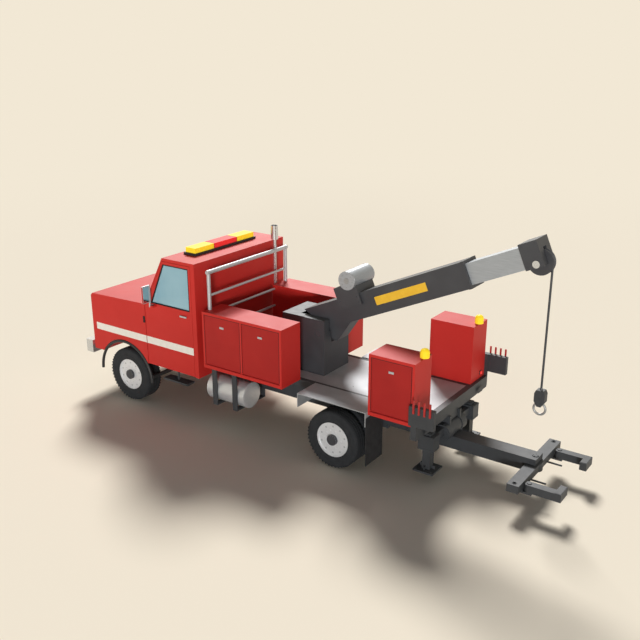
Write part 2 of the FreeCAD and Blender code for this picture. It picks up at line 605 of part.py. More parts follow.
def make_hood():
    body = start("hood")
    outer = [("hood_back", "cab_low"), ("hood_front", "cab_low"), ("hood_front", "hood_nose - nose_chamfer"),
             ("hood_front - nose_chamfer", "hood_nose"), ("hood_back", "hood_high")]
    slab(body, "XZ", outer, "-body_half", "body_half")
    inner = [("hood_back - hood_wall", "cab_low - hood_wall"),
             ("hood_front - hood_wall", "cab_low - hood_wall"),
             ("hood_front - hood_wall", "hood_nose - nose_chamfer - hood_wall/2"),
             ("hood_front - hood_wall/2 - nose_chamfer", "hood_nose - hood_wall"),
             ("hood_back - hood_wall", "hood_high - hood_wall")]
    slab(body, "XZ", inner, "-hood_near", "hood_near", cut=True)
    reach = "body_half + panel_gap"
    arch = "arch_radius + flare_radius + arch_gap"
    for near, far in (("well_near", "hood_near"), ("-hood_near", "-well_near")):
        rod(body, "XZ", ("arch_x", "arch_z"), arch + " + well_thick", near, far)
    rod(body, "XZ", ("arch_x", "arch_z"), arch, minus(reach), reach, cut=True)
    block(body, ("arch_x - 2*arch_radius", "arch_x + 2*arch_radius"), (minus(reach), reach),
          ("arch_z - 2*arch_radius", "cab_low"), cut=True)
    skin = ("hood_front - 2*hood_wall", "hood_front + hood_wall")
    block(body, skin, ("-grille_half", "grille_half"), ("grille_low", "grille_high"), cut=True)
    for near, far in (("lamp_near", "lamp_far"), ("-lamp_far", "-lamp_near")):
        block(body, skin, (near, far), ("lamp_low", "lamp_high"), cut=True)
    ear_near = "hood_ear_near + hood_ear_wall + ear_gap"
    ear = box_xz("hood_front - hood_wall/2", "hood_pin_x + hood_ear", "hood_pin_z - hood_ear",
                 "hood_pin_z + hood_ear")
    both(body, "XZ", ear, ear_near, ear_near + " + hood_ear_wall")
    for low, high in (("hood_ear_near", ear_near), (minus(ear_near), "-hood_ear_near")):
        rod(body, "XZ", ("hood_pin_x", "hood_pin_z"), "hood_pin_radius", low, high)
    return keep(body)


def make_grille():
    body = start("grille")
    fore = "hood_front - hood_wall/4"
    back = fore + " - grille_deep"
    block(body, (back, fore), ("-grille_half + seat_gap", "grille_half - seat_gap"),
          ("grille_low + seat_gap", "grille_high - seat_gap"))
    gap = "(grille_high - grille_low - 2*grille_frame - (grille_bars - 1)*grille_bar)/grille_bars"
    for index in range(int(SIZES["grille_bars"])):
        low = "grille_low + grille_frame + %d*(%s + grille_bar)" % (index, gap)
        block(body, (back + " - grille_deep", fore + " + grille_deep"),
              ("-grille_half + grille_frame", "grille_half - grille_frame"), (low, low + " + " + gap),
              cut=True)
    return keep(body)


def make_headlamps():
    body = start("headlamps_left")
    block(body, ("hood_front - hood_wall", "hood_front + lamp_proud"),
          ("lamp_near + seat_gap", "lamp_far - seat_gap"),
          ("lamp_low + seat_gap", "lamp_high - seat_gap"))
    return pair("headlamps", body)


def make_front_fenders():
    """Over the front wheels: a bent tube on a stay from the frame rail."""
    body = start("front_fenders_left", x="arch_x", z="arch_z")
    turned(body, "XY", "V", centre=("arch_radius", "flare_y"), radius="flare_radius", angle="180", back=True)
    block(body, ("-arch_radius - stay_long", "-arch_radius"), ("rail_far", "flare_y"),
          ("stay_rise", "stay_rise + stay_high"))
    return pair("front_fenders", body)


def make_bumper():
    body = start("front_bumper")
    outline = [("bumper_back", "-body_half"), ("bumper_front - bumper_chamfer", "-body_half"),
               ("bumper_front", "-body_half + bumper_chamfer"),
               ("bumper_front", "body_half - bumper_chamfer"),
               ("bumper_front - bumper_chamfer", "body_half"), ("bumper_back", "body_half")]
    slab(body, "XY", outline, "bumper_low", "bumper_high")
    return keep(body)


# ---------------------------------------------------------------- lamps, rack, exhaust

def make_lamps():
    base = start("light_bar")
    top = "cab_high + bar_high"
    block(base, ("bar_back", "bar_front"), ("-bar_half", "bar_half"), ("cab_high", top))
    keep(base)
    lens_x = ("bar_back + lens_inset", "bar_front - lens_inset")
    lens_z = (top, top + " + lens_high")
    amber = start("amber_lamps_left")
    block(amber, lens_x, ("red_half + lens_gap", "bar_half - lens_inset"), lens_z)
    beacon = start("amber_lamps_beacon", x="beacon_x", y="beacon_y", z="rear_box_high")
    dome = [("0", "0"), ("beacon_foot", "0"), ("beacon_foot", "beacon_low"), ("beacon_radius", "beacon_low"),
            ("beacon_radius", "beacon_high"), ("beacon_radius*0.75", "beacon_high + beacon_radius*0.5"),
            ("0", "beacon_high + beacon_radius*0.7")]
    turned(beacon, "XZ", "V", points=dome)
    gather("amber_lamps", [amber, mirror("amber_lamps_right", amber), beacon,
                           mirror("beacon_right", beacon)])
    red = start("red_lamps_lens")
    block(red, lens_x, ("-red_half", "red_half"), lens_z)
    tail = start("red_lamps_tail")
    rod(tail, "YZ", ("tail_y", "tail_z"), "tail_radius", "rear_box_back - tail_long", "rear_box_back")
    gather("red_lamps", [red, tail, mirror("red_lamps_tail_right", tail)])


def make_rack():
    frame = start("headache_rack_frame")
    for side in ("", "-"):
        rod(frame, "XY", ("rack_x", side + "rack_y"), "rack_radius - seam", "front_box_high",
            "rack_top - rack_radius")
    rod(frame, "XZ", ("rack_x", "rack_top - rack_radius"), "rack_radius",
        "-rack_y - rack_radius", "rack_y + rack_radius")
    rod(frame, "XZ", ("rack_x", "rung_high"), "rung_radius", "-rack_y", "rack_y")
    pieces = [frame]
    for index in (1, 2, 3):
        rung = start("headache_rack_rung_%d" % index)
        rod(rung, "XZ", ("rack_x", "rung_high - %d*rung_step" % index), "rung_radius", "-box_near",
            "box_near")
        pieces.append(rung)
    gather("headache_rack", pieces)


def make_exhaust():
    body = start("exhaust_stack", x="stack_x", y="stack_y")
    rod(body, "XY", ("0", "0"), "pipe_radius", "pipe_low", "pipe_high")
    rod(body, "XY", ("0", "0"), "tip_radius", "pipe_high - pipe_radius", "tip_high")
    rod(body, "XY", ("0", "0"), "tip_radius - tip_wall", "tip_high - tip_deep", "tip_high + tip_wall",
        cut=True)
    for height in ("cowl_high", "cab_high - 4*cab_wall"):
        block(body, ("0", "cab_back - stack_x"), ("-clamp_half", "clamp_half"),
              (height, height + " + clamp_half"))
    return keep(body)


# ---------------------------------------------------------------- toolboxes

BOXES = {
    "front": ("front_box_back", "front_box_front", "front_box_high", ("left_1", "left_2")),
    "rear": ("rear_box_back", "rear_box_front", "rear_box_high", ("left",)),
}


def lid_spans(name):
    """Back and front of each door opening of a toolbox."""
    back, front, high, doors = BOXES[name]
    wide = "(%s - %s - %d*box_margin)/%d" % (front, back, len(doors) + 1, len(doors))
    spans = []
    for index in range(len(doors)):
        low = "%s + box_margin + %d*(%s + box_margin)" % (back, index, wide)
        spans.append((low, low + " + " + wide))
    return spans


def make_toolboxes():
    for name, (back, front, high, doors) in BOXES.items():
        box = start("%s_toolboxes_left" % name)
        block(box, (back, front), ("box_near", "body_half"), ("box_base", high))
        block(box, (back + " + box_wall", front + " - box_wall"),
              ("box_near + box_wall", "body_half - box_wall"),
              ("box_base + box_wall", high + " - box_wall"), cut=True)
        for low, far in lid_spans(name):
            block(box, (low, far), ("body_half - 2*box_wall", "body_half + box_wall"),
                  ("box_base + box_margin", high + " - box_margin"), cut=True)
        pair("%s_toolboxes" % name, box)
        for door, (low, far) in zip(doors, lid_spans(name)):
            make_lid("%s_box_door_%s" % (name, door), low, far, high)


def make_lid(label, back, front, high):
    """A drop-down door on a hinge rod along its foot."""
    lid = start(label)
    foot = "box_base + box_margin + panel_gap"
    outer = "body_half - lid_inset"
    block(lid, (back + " + panel_gap", front + " - panel_gap"), (outer + " - lid_thick", outer),
          (foot, high + " - box_margin - panel_gap"))
    hinge_y = "body_half + barrel_radius + barrel_gap"
    hinge_z = foot + " + barrel_radius"
    block(lid, (back + " + panel_gap", front + " - panel_gap"), (outer + " - lid_thick/2", hinge_y),
          (hinge_z + " - barrel_radius/2", hinge_z + " + barrel_radius/2"))
    rod(lid, "YZ", (hinge_y, hinge_z), "barrel_radius", back + " - barrel_over", front + " + barrel_over")
    left_and_right(lid, label.replace("left", "right"))


# ---------------------------------------------------------------- deck, fenders, tank, steps

def make_deck():
    deck = start("deck_plate")
    block(deck, ("beam_front", "side_front"), ("-side_near", "side_near"), ("deck_under", "deck_top"))
    for across in ("-bolt_y", "bolt_y"):
        for along in ("-bolt_x", "bolt_x - bolt_span/2"):
            rod(deck, "XY", (along, across), "bolt_radius", "deck_under - seam", "deck_top + seam", cut=True)
    return deck


def make_rear_fenders():
    body = start("rear_fenders_left")
    profile = [("fender_back", "fender_drop"), ("fender_back + fender_thick", "fender_drop"),
               ("fender_back + fender_thick", "fender_high - fender_thick"),
               ("fender_front - fender_thick", "fender_high - fender_thick"),
               ("fender_front - fender_thick", "fender_drop"), ("fender_front", "fender_drop"),
               ("fender_front", "fender_high"), ("fender_back", "fender_high")]
    slab(body, "XZ", profile, "side_far", "body_half")
    return body


def make_flaps():
    body = start("mudflaps_left")
    block(body, ("fender_back - flap_thick", "fender_back"), ("side_far", "flap_far"),
          ("flap_low", "flap_top"))
    return pair("mudflaps", body)


def make_tank():
    tank = start("fuel_tank")
    rod(tank, "YZ", ("tank_y", "tank_z"), "tank_radius", "tank_back", "tank_front")
    keep(tank)
    floor = "tank_z - tank_radius"
    side = "tank_y + tank_radius"
    outline = [(side + " + strap_thick", "box_base"), (side, "box_base"), (side, floor), ("rail_far", floor),
               ("rail_far", "rail_low"), ("rail_far - strap_thick", "rail_low"),
               ("rail_far - strap_thick", floor + " - strap_thick"),
               (side + " + strap_thick", floor + " - strap_thick")]
    pieces = []
    for index in (0, 1):
        strap = start("tank_strap_%d" % (index + 1))
        back = "strap_back + %d*strap_step" % index
        slab(strap, "YZ", outline, back, back + " + strap_wide")
        pieces.append(strap)
    return pieces


def make_steps():
    step = start("cab_steps_left")
    block(step, ("step_back", "step_front"), ("step_near", "body_half"),
          ("step_high - step_thick", "step_high"))
    back = "step_back + step_long/2 - hanger_wide/2"
    near = "step_near + step_wide/2 - hanger_thick/2"
    block(step, (back, back + " + hanger_wide"), (near, near + " + hanger_thick"),
          ("step_high - step_thick", "cab_low"))
    return step


# ---------------------------------------------------------------- mast and boom

def boom_part(label):
    """A body in the boom's frame: X points to the butt, Z away from the underside, origin on the pivot."""
    return start(label, x="pivot_x", z="pivot_z", turn="boom_angle")


def make_mast():
    mast = start("mast")
    block(mast, ("mast_back", "mast_front"), ("-mast_half", "mast_half"), ("deck_top", "mast_high"))
    block(mast, ("mast_back", "side_plate_front"), ("-mast_half - side_plate", "mast_half + side_plate"),
          ("deck_top", "mast_high"))
    rear, over = "mast_back - mast_wall", "mast_high + mast_wall"
    dip = "pivot_z - slot_dip"
    boom_slot = [(rear, "pivot_z + slot_rear_low"), ("pivot_x", "pivot_z"), ("pivot_x + slot_dip_x", dip),
                 ("slot_front", dip), ("slot_front", "mast_high - slot_lip_low"),
                 ("slot_front - slot_lip", "mast_high"), ("slot_front - slot_lip", over), (rear, over)]
    slab(mast, "XZ", boom_slot, "-slot_half", "slot_half", cut=True)
    lug_slot = [(rear, "pivot_z - lug_slot_low"), ("mast_back + mast_wall", "pivot_z - lug_slot_low"),
                ("mast_back + lug_slot_long", dip), ("pivot_x + slot_dip_x", dip),
                ("pivot_x + slot_dip_x", "pivot_z"), (rear, "mast_high")]
    slab(mast, "XZ", lug_slot, "-lug_half - move_gap", "lug_half + move_gap", cut=True)
    rod(mast, "XZ", ("pivot_x", "pivot_z"), "pivot_radius + move_gap", "-slot_half", "slot_half", cut=True)
    ceiling = "pivot_z - lug_slot_low - mast_wall"
    block(mast, ("mast_back + mast_wall", "mast_front - mast_wall"),
          ("-mast_half + mast_wall", "mast_half - mast_wall"), ("deck_top - mast_wall", ceiling), cut=True)
    reach = "mast_half + side_plate + mast_wall"
    rod(mast, "XZ", ("pivot_x", "pivot_z"), "pivot_radius + pin_fit", minus(reach), reach, cut=True)
    return keep(mast)


def make_boom():
    boom = boom_part("boom")
    outline = [("butt_top", "boom_top"), ("-butt_foot", "boom_rise"), ("-boom_mouth", "boom_rise"),
               ("-boom_mouth", "boom_top")]
    slab(boom, "XZ", outline, "-boom_half", "boom_half")
    lug = [("lug_nose", "boom_mid"), ("lug_nose", "-lug_nose"), ("-lug_nose", "-lug_nose"),
           ("lug_flat - lug_point", "lug_flat - lug_drop"), ("-lug_point", "-lug_drop"),
           ("-lug_point - lug_flat", "-lug_drop"), ("-lug_end", "boom_rise"), ("-lug_end", "boom_mid")]
    slab(boom, "XZ", lug, "-lug_half", "lug_half")
    bore = "boom_wall"
    hollow = [("-butt_wall", "boom_rise + " + bore), ("-boom_mouth - pad_long", "boom_rise + " + bore),
              ("-boom_mouth - pad_long", "boom_top - " + bore), ("-butt_wall", "boom_top - " + bore)]
    slab(boom, "XZ", hollow, "-boom_half + boom_wall", "boom_half - boom_wall", cut=True)
    ring_x = ("-boom_mouth", "-boom_mouth + pad_long")
    block(boom, ring_x, ("-boom_half", "boom_half"), ("boom_rise", "boom_top"))
    block(boom, (ring_x[0] + " - seam", ring_x[1] + " + seam"),
          ("-stage_half - slide_fit", "stage_half + slide_fit"),
          ("stage_low - slide_fit", "stage_top + slide_fit"), cut=True)
    reach = "mast_half + side_plate - pin_recess"
    rod(boom, "XZ", ("0", "0"), "pivot_radius", minus(reach), reach)
    make_cradle(boom)
    return keep(boom)


def make_cradle(boom):
    """Saddle for the winch: cheeks beside the boom, walls across its top and a round seat for the drum."""
    outline = box_xz("-cradle_front", "-cradle_back", "cradle_low", "cradle_high")
    both(boom, "XZ", outline, "boom_half", "cheek_near + cheek_thick")
    block(boom, ("-cradle_front", "-cradle_back"), ("-boom_half", "boom_half"),
          ("boom_top - seam", "cradle_high"))
    block(boom, ("-cradle_front + cradle_wall", "-cradle_back - cradle_wall"), ("-cheek_near", "cheek_near"),
          ("boom_top", "cradle_high + seam"), cut=True)
    centre = ("-winch_s", "winch_n")
    rod(boom, "XZ", centre, "drum_radius + move_gap", "-cheek_near", "cheek_near", cut=True)
    reach = "cheek_near + cheek_thick + seam"
    rod(boom, "XZ", centre, "drum_radius + pin_fit", minus(reach), reach, cut=True)


def make_winch():
    drum = boom_part("winch_drum")
    rod(drum, "XZ", ("-winch_s", "winch_n"), "drum_radius", "-drum_half", "drum_half")
    return keep(drum)


def make_stage():
    stage = boom_part("boom_extension")
    block(stage, ("-head_back", "-stage_back"), ("-stage_half", "stage_half"), ("stage_low", "stage_top"))
    block(stage, ("-head_back - seam", "-stage_back + seam"),
          ("-stage_half + stage_wall", "stage_half - stage_wall"),
          ("stage_low + stage_wall", "stage_top - stage_wall"), cut=True)
    rod(stage, "XZ", ("-sheave_s", "sheave_n"), "sheave_radius + move_gap", "-head_slot", "head_slot",
        cut=True)
    keep(stage)
    head = boom_part("boom_head")
    block(head, ("-head_front", "-head_back"), ("-boom_half", "boom_half"), ("head_low", "boom_top"))
    block(head, ("-head_front - seam", "-head_back + seam"), ("-head_slot", "head_slot"),
          ("head_low - seam", "boom_top - head_roof"), cut=True)
    rod(head, "XZ", ("-sheave_s", "sheave_n"), "sheave_pin + pin_fit", "-boom_half - seam",
        "boom_half + seam", cut=True)
    return keep(head)


def make_sheave():
    sheave = start("sheave", x="line_x", z="line_z")
    groove = "groove_radius - line_radius - line_gap"
    rim = [("-sheave_half", "0"), ("sheave_half", "0"), ("sheave_half", "sheave_radius"),
           ("groove_half + line_radius", "sheave_radius"), ("groove_half", groove), ("-groove_half", groove),
           ("-groove_half - line_radius", "sheave_radius"), ("-sheave_half", "sheave_radius")]
    turned(sheave, "YZ", "H", points=rim)
    reach = "boom_half + pin_proud"
    rod(sheave, "XZ", ("0", "0"), "sheave_pin", minus(reach), reach)
    return keep(sheave)


def make_line():
    """The hoist line hangs plumb from the sheave, with the weight of the hook block on its end."""
    line = start("hoist_line", x="line_x", z="line_z")
    rod(line, "XY", ("-groove_radius", "0"), "line_radius", "block_top - line_z - line_radius", "0")
    turned(line, "XY", "V", centre=("-groove_radius", "0"), radius="line_radius", angle="wrap_angle")
    outline = [("-groove_radius - block_half + block_taper", "block_top - line_z"),
               ("-groove_radius - block_half", "block_top - line_z - 2*block_taper"),
               ("-groove_radius - block_half", "block_low - line_z + 3*block_taper"),
               ("-groove_radius - block_half + 2*block_taper", "block_low - line_z"),
               ("-groove_radius + block_half - 2*block_taper", "block_low - line_z"),
               ("-groove_radius + block_half", "block_low - line_z + 3*block_taper"),
               ("-groove_radius + block_half", "block_top - line_z - 2*block_taper"),
               ("-groove_radius + block_half - block_taper", "block_top - line_z")]
    slab(line, "XZ", outline, "-block_thick", "block_thick")
    top = "block_low - line_z + ring_sink"
    wide = ("-groove_radius - block_half - seam", "-groove_radius + block_half + seam")
    block(line, wide, ("-ring_wire - seam", "ring_wire + seam"),
          ("block_low - line_z - seam", top + " + ring_wire + seam"), cut=True)
    rod(line, "XZ", ("-groove_radius", top + " - ring_wire - seat_gap - ring_pin"), "ring_pin",
        "-block_thick", "block_thick")
    keep(line)
    ring = start("hook_ring", x="line_x - groove_radius", z="block_low + ring_sink - ring_radius")
    turned(ring, "XY", "V", centre=("ring_radius", "0"), radius="ring_wire")
    return keep(ring)


# ---------------------------------------------------------------- rear frame, outriggers, underlift

def make_rear_frame():
    body = start("rear_frame")
    block(body, ("beam_back", "beam_front"), ("-body_half", "body_half"), ("beam_bottom", "deck_top"))
    block(body, ("beam_back", "tower_front"), ("-tower_half", "tower_half"),
          ("tower_foot", "beam_bottom + seam"))
    cheek_in = "lift_half + cheek_gap"
    cheek = box_xz("lift_x - cheek_half", "lift_x + cheek_half", "lift_z", "beam_bottom + seam")
    both(body, "XZ", cheek, cheek_in, "tower_half")
    for low, high in ((cheek_in, "cap_far"), ("-cap_far", minus(cheek_in))):
        rod(body, "XZ", ("lift_x", "lift_z"), "cap_radius", low, high)
    girder = box_xz("beam_back", "frame_back", "girder_low", "girder_high")
    both(body, "XZ", girder, "tower_half", "leg_y - sleeve_half_y + seam")
    for near, far in (("leg_y - sleeve_half_y", "leg_y + sleeve_half_y"),
                      ("-leg_y - sleeve_half_y", "-leg_y + sleeve_half_y")):
        block(body, ("leg_x - sleeve_half_x", "leg_x + sleeve_half_x"), (near, far),
              ("sleeve_low", "sleeve_high"))
    hole = "leg_half + slide_fit"
    for side in ("", "-"):
        block(body, ("leg_x - (%s)" % hole, "leg_x + " + hole),
              (side + "leg_y - (%s)" % hole, side + "leg_y + " + hole),
              ("sleeve_low - seam", "sleeve_high + seam"), cut=True)
    rod(body, "XZ", ("lift_x", "lift_z"), "lift_pin + pin_fit", "-cap_far - seam", "cap_far + seam",
        cut=True)
    return keep(body)


def make_leg():
    leg = start("outrigger_left", x="leg_x", y="leg_y")
    block(leg, ("-leg_half", "leg_half"), ("-leg_half", "leg_half"), ("foot_high - foot_thick", "leg_top"))
    block(leg, ("-foot_half", "foot_half"), ("-foot_half", "foot_half"),
          ("foot_high - foot_thick", "foot_high"))
    return left_and_right(leg, "outrigger_right")


def make_underlift():
    lift = start("underlift_boom")
    block(lift, ("lift_end", "lift_front"), ("-lift_half", "lift_half"), ("lift_low", "lift_high"))
    rod(lift, "XZ", ("lift_x", "lift_z"), "root_radius", "-lift_half", "lift_half")
    block(lift, ("tongue_end", "lift_end + seam"), ("-lift_half", "lift_half"), ("tongue_low", "lift_high"))
    block(lift, ("lift_end + lift_plug", "lift_x - cap_radius"),
          ("-lift_half + lift_wall", "lift_half - lift_wall"),
          ("lift_low + lift_wall", "lift_high - lift_wall"), cut=True)
    rod(lift, "XZ", ("lift_x", "lift_z"), "lift_pin", "-cap_far", "cap_far")
    rod(lift, "XY", ("swivel_x", "0"), "swivel_radius + pin_fit", "tongue_low - seam",
        "lift_high + seam", cut=True)
    keep(lift)
    bar = start("crossbar")
    block(bar, ("bar_rear", "bar_fore"), ("-bar_reach", "bar_reach"), ("bar_low", "bar_top"))
    rod(bar, "XY", ("swivel_x", "0"), "bar_hub", "bar_low", "bar_top")
    rod(bar, "XY", ("swivel_x", "0"), "swivel_radius", "bar_top", "lift_high")
    for near, far in (("arm_near", "arm_far"), ("-arm_far", "-arm_near")):
        block(bar, ("arm_pivot_x - arm_wide/2", "lug_fore"), (near, far),
              ("arm_low - lug_under", "arm_low - slide_fit"))
        block(bar, ("bar_rear + seam", "lug_fore"), (near, far), ("arm_low - lug_under", "bar_low + seam"))
    for side in ("", "-"):
        rod(bar, "XY", ("arm_pivot_x", side + "arm_y"), "arm_pin + pin_fit", "arm_low - 2*lug_under",
            "arm_low", cut=True)
        rod(bar, "XY", ("swivel_x", side + "receiver_y"), "receiver_radius", "bar_low - seam",
            "bar_top + seam", cut=True)
        rod(bar, "YZ", (side + "rod_y", "rod_low"), "rod_radius", "rod_end", "rod_start")
    keep(bar)
    arm = start("wheel_fork_left", x="arm_pivot_x", y="arm_y")
    half = "arm_wide/2"
    long = "fork_tip - arm_pivot_x"
    outline = [("0", half), (long, half), (long, "arm_tip_y - arm_y"),
               (long + " + arm_tip_long", "arm_tip_y - arm_y"),
               (long + " + arm_tip_long", minus(half)), ("0", minus(half))]
    slab(arm, "XY", outline, "arm_low", "arm_high")
    rod(arm, "XY", ("0", "0"), half, "arm_low", "arm_high")
    rod(arm, "XY", ("0", "0"), "arm_pin", "arm_low - lug_under", "arm_low")
    return left_and_right(arm, "wheel_fork_right")


def make_valves():
    box = start("valve_boxes_left")
    block(box, ("valve_back", "valve_front"), ("valve_near", "valve_far"), ("valve_low", "valve_high"))
    block(box, ("beam_back", "valve_front"), ("body_half", "valve_near"), ("valve_plate_low", "valve_high"))
    pair("valve_boxes", box)
    levers = []
    for index in range(4):
        lever = start("control_lever_%d" % (index + 1))
        front = "lever_first + %d*lever_step" % index
        block(lever, (front + " - lever_wide", front), ("valve_far", "valve_far + lever_thick"),
              ("lever_low", "lever_high"))
        levers += [lever, mirror("control_lever_%d_right" % (index + 1), lever)]
    gather("control_levers", levers)


make_chassis()
make_driveline()
gather("axles_and_springs", [make_front_axle(), make_rear_axle()])
make_knuckle()
make_front_wheels()
make_rear_wheels()
make_cab()
make_windscreen()
make_doors()
make_cab_inside()
make_hood()
make_grille()
make_headlamps()
make_front_fenders()
make_bumper()
make_lamps()
make_rack()
make_exhaust()
make_toolboxes()
fender = make_rear_fenders()
gather("deck_and_fenders", [make_deck(), fender, mirror("rear_fenders_right", fender)])
make_flaps()
straps = make_tank()
step = make_steps()
gather("steps_and_straps", straps + [step, mirror("cab_steps_right", step)])
make_mast()
make_boom()
make_winch()
make_stage()
make_sheave()
make_line()
make_rear_frame()
make_leg()
make_underlift()
make_valves()

doc.recompute()
for item in doc.Objects:
    if "Invalid" in item.State or "Error" in item.State:
        raise RuntimeError("%s did not build: %s" % (item.Label, item.State))
for item in nodes:
    if item.Shape.isNull() or not item.Shape.isValid() or not item.Shape.Solids:
        raise RuntimeError("%s has no valid solid" % item.Label)

os.makedirs("parts", exist_ok=True)
for item in nodes:
    item.Shape.exportStep("parts/%s.step" % item.Label)
    print(item.Label, len(item.Shape.Solids))
print(len(nodes), "sub-parts")
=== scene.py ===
import json
import math
import bmesh
import bpy
from mathutils import Matrix, Vector

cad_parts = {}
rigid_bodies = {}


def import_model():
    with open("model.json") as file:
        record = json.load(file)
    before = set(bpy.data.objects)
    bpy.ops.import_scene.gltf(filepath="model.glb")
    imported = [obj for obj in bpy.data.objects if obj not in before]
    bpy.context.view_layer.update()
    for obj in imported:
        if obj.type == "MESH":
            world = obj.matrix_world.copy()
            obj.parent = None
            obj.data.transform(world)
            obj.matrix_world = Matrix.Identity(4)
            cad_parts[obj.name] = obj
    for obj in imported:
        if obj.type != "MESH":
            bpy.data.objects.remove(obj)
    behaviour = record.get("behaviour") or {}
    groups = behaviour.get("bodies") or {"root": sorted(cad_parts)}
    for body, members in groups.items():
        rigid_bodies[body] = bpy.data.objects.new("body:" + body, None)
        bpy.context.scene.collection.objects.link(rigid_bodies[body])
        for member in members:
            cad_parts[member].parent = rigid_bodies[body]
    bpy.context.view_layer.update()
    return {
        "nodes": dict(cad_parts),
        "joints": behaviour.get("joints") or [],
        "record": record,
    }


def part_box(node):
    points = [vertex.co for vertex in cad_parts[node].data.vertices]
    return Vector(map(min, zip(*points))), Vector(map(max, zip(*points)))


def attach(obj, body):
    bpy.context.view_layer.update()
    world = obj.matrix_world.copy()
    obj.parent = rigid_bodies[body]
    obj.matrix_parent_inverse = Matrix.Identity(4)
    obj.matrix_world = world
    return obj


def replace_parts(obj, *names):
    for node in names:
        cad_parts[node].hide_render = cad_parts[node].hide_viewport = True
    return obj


for leftover in list(bpy.data.objects):
    bpy.data.objects.remove(leftover, do_unlink=True)
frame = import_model()
joints = {joint["name"]: joint for joint in frame["joints"]}
slotOf = {part["node"]: part["material_slot"] for part in frame["record"]["subparts"]}
bothSides = (("left", 1), ("right", -1))
print("frame loaded:", len(frame["nodes"]), "nodes")


# Materials

def linear(hexColour):
    channels = [int(hexColour[i:i + 2], 16) / 255 for i in (0, 2, 4)]
    return [c / 12.92 if c <= 0.04045 else ((c + 0.055) / 1.055) ** 2.4 for c in channels] + [1.0]


def addNode(tree, kind, settings=None, inputs=None):
    node = tree.nodes.new(kind)
    for key, value in (settings or {}).items():
        setattr(node, key, value)
    for key, value in (inputs or {}).items():
        if isinstance(value, bpy.types.NodeSocket):
            tree.links.new(value, node.inputs[key])
        else:
            node.inputs[key].default_value = value
    return node


def blankMaterial(name, **shaderValues):
    material = bpy.data.materials.new(name)
    material.use_nodes = True
    tree = material.node_tree
    tree.nodes.clear()
    values = {key.replace("_", " "): value for key, value in shaderValues.items()}
    shader = addNode(tree, "ShaderNodeBsdfPrincipled", inputs=values)
    addNode(tree, "ShaderNodeOutputMaterial", inputs={"Surface": shader.outputs[0]})
    return material, tree, shader


def noise(tree, size, detail=2.0, stretch=(1, 1, 1)):  # size is that of one blotch, in metres
    place = addNode(tree, "ShaderNodeTexCoord")
    scaled = addNode(tree, "ShaderNodeMapping", inputs={"Vector": place.outputs["Object"], "Scale": stretch})
    return addNode(tree, "ShaderNodeTexNoise",
                   inputs={"Vector": scaled.outputs[0], "Scale": 1 / size, "Detail": detail}).outputs["Fac"]


def tint(tree, shader, pattern, darkHex, lightHex, low=0.3, high=0.7):
    ramp = addNode(tree, "ShaderNodeValToRGB", inputs={"Fac": pattern})
    for stop, position, colour in zip(ramp.color_ramp.elements, (low, high), (darkHex, lightHex)):
        stop.position, stop.color = position, linear(colour)
    tree.links.new(ramp.outputs[0], shader.inputs["Base Color"])


def roughen(tree, shader, pattern, low, high):
    spread = addNode(tree, "ShaderNodeMapRange", inputs={"Value": pattern, "To Min": low, "To Max": high})
    tree.links.new(spread.outputs[0], shader.inputs["Roughness"])


def relief(tree, shader, pattern, depth, strength=1.0):
    bump = addNode(tree, "ShaderNodeBump", inputs={"Height": pattern, "Distance": depth,
                                                   "Strength": strength})
    tree.links.new(bump.outputs[0], shader.inputs["Normal"])


def sprayedEnamel(name, look):  # two-pack enamel: faint orange peel, road dust in broad patches
    material, tree, shader = blankMaterial(name, IOR=1.5, Specular_IOR_Level=0.27,
                                           Coat_Weight=look["coat"], Coat_Roughness=0.3)
    tint(tree, shader, noise(tree, look["patch"], 4), look["dark"], look["light"])
    roughen(tree, shader, noise(tree, look["patch"] / 3, 3), look["rough"] - 0.05, look["rough"] + 0.08)
    relief(tree, shader, noise(tree, look["peel"], 1), 0.0004, 0.35)
    return material


def powderCoat(name, look):  # baked powder on steel: fine pebbled skin, scuffs a little lighter
    material, tree, shader = blankMaterial(name, IOR=1.5)
    tint(tree, shader, noise(tree, look["patch"], 5), look["dark"], look["light"], 0.35, 0.75)
    roughen(tree, shader, noise(tree, look["patch"] / 4, 3), look["rough"] - 0.07, look["rough"] + 0.1)
    relief(tree, shader, noise(tree, look["grain"], 2), 0.0006, 0.4)
    return material


def brushedMetal(name, look):  # brushed sheet, weathered dull: long fine scratches along one axis
    material, tree, shader = blankMaterial(name, Metallic=look["metal"])
    scratches = noise(tree, look["line"], 3, look["along"])
    tint(tree, shader, scratches, look["dark"], look["light"], 0.25, 0.8)
    roughen(tree, shader, noise(tree, 0.35, 4), look["rough"] - 0.06, look["rough"] + 0.1)
    relief(tree, shader, scratches, 0.0003, 0.3)
    return material


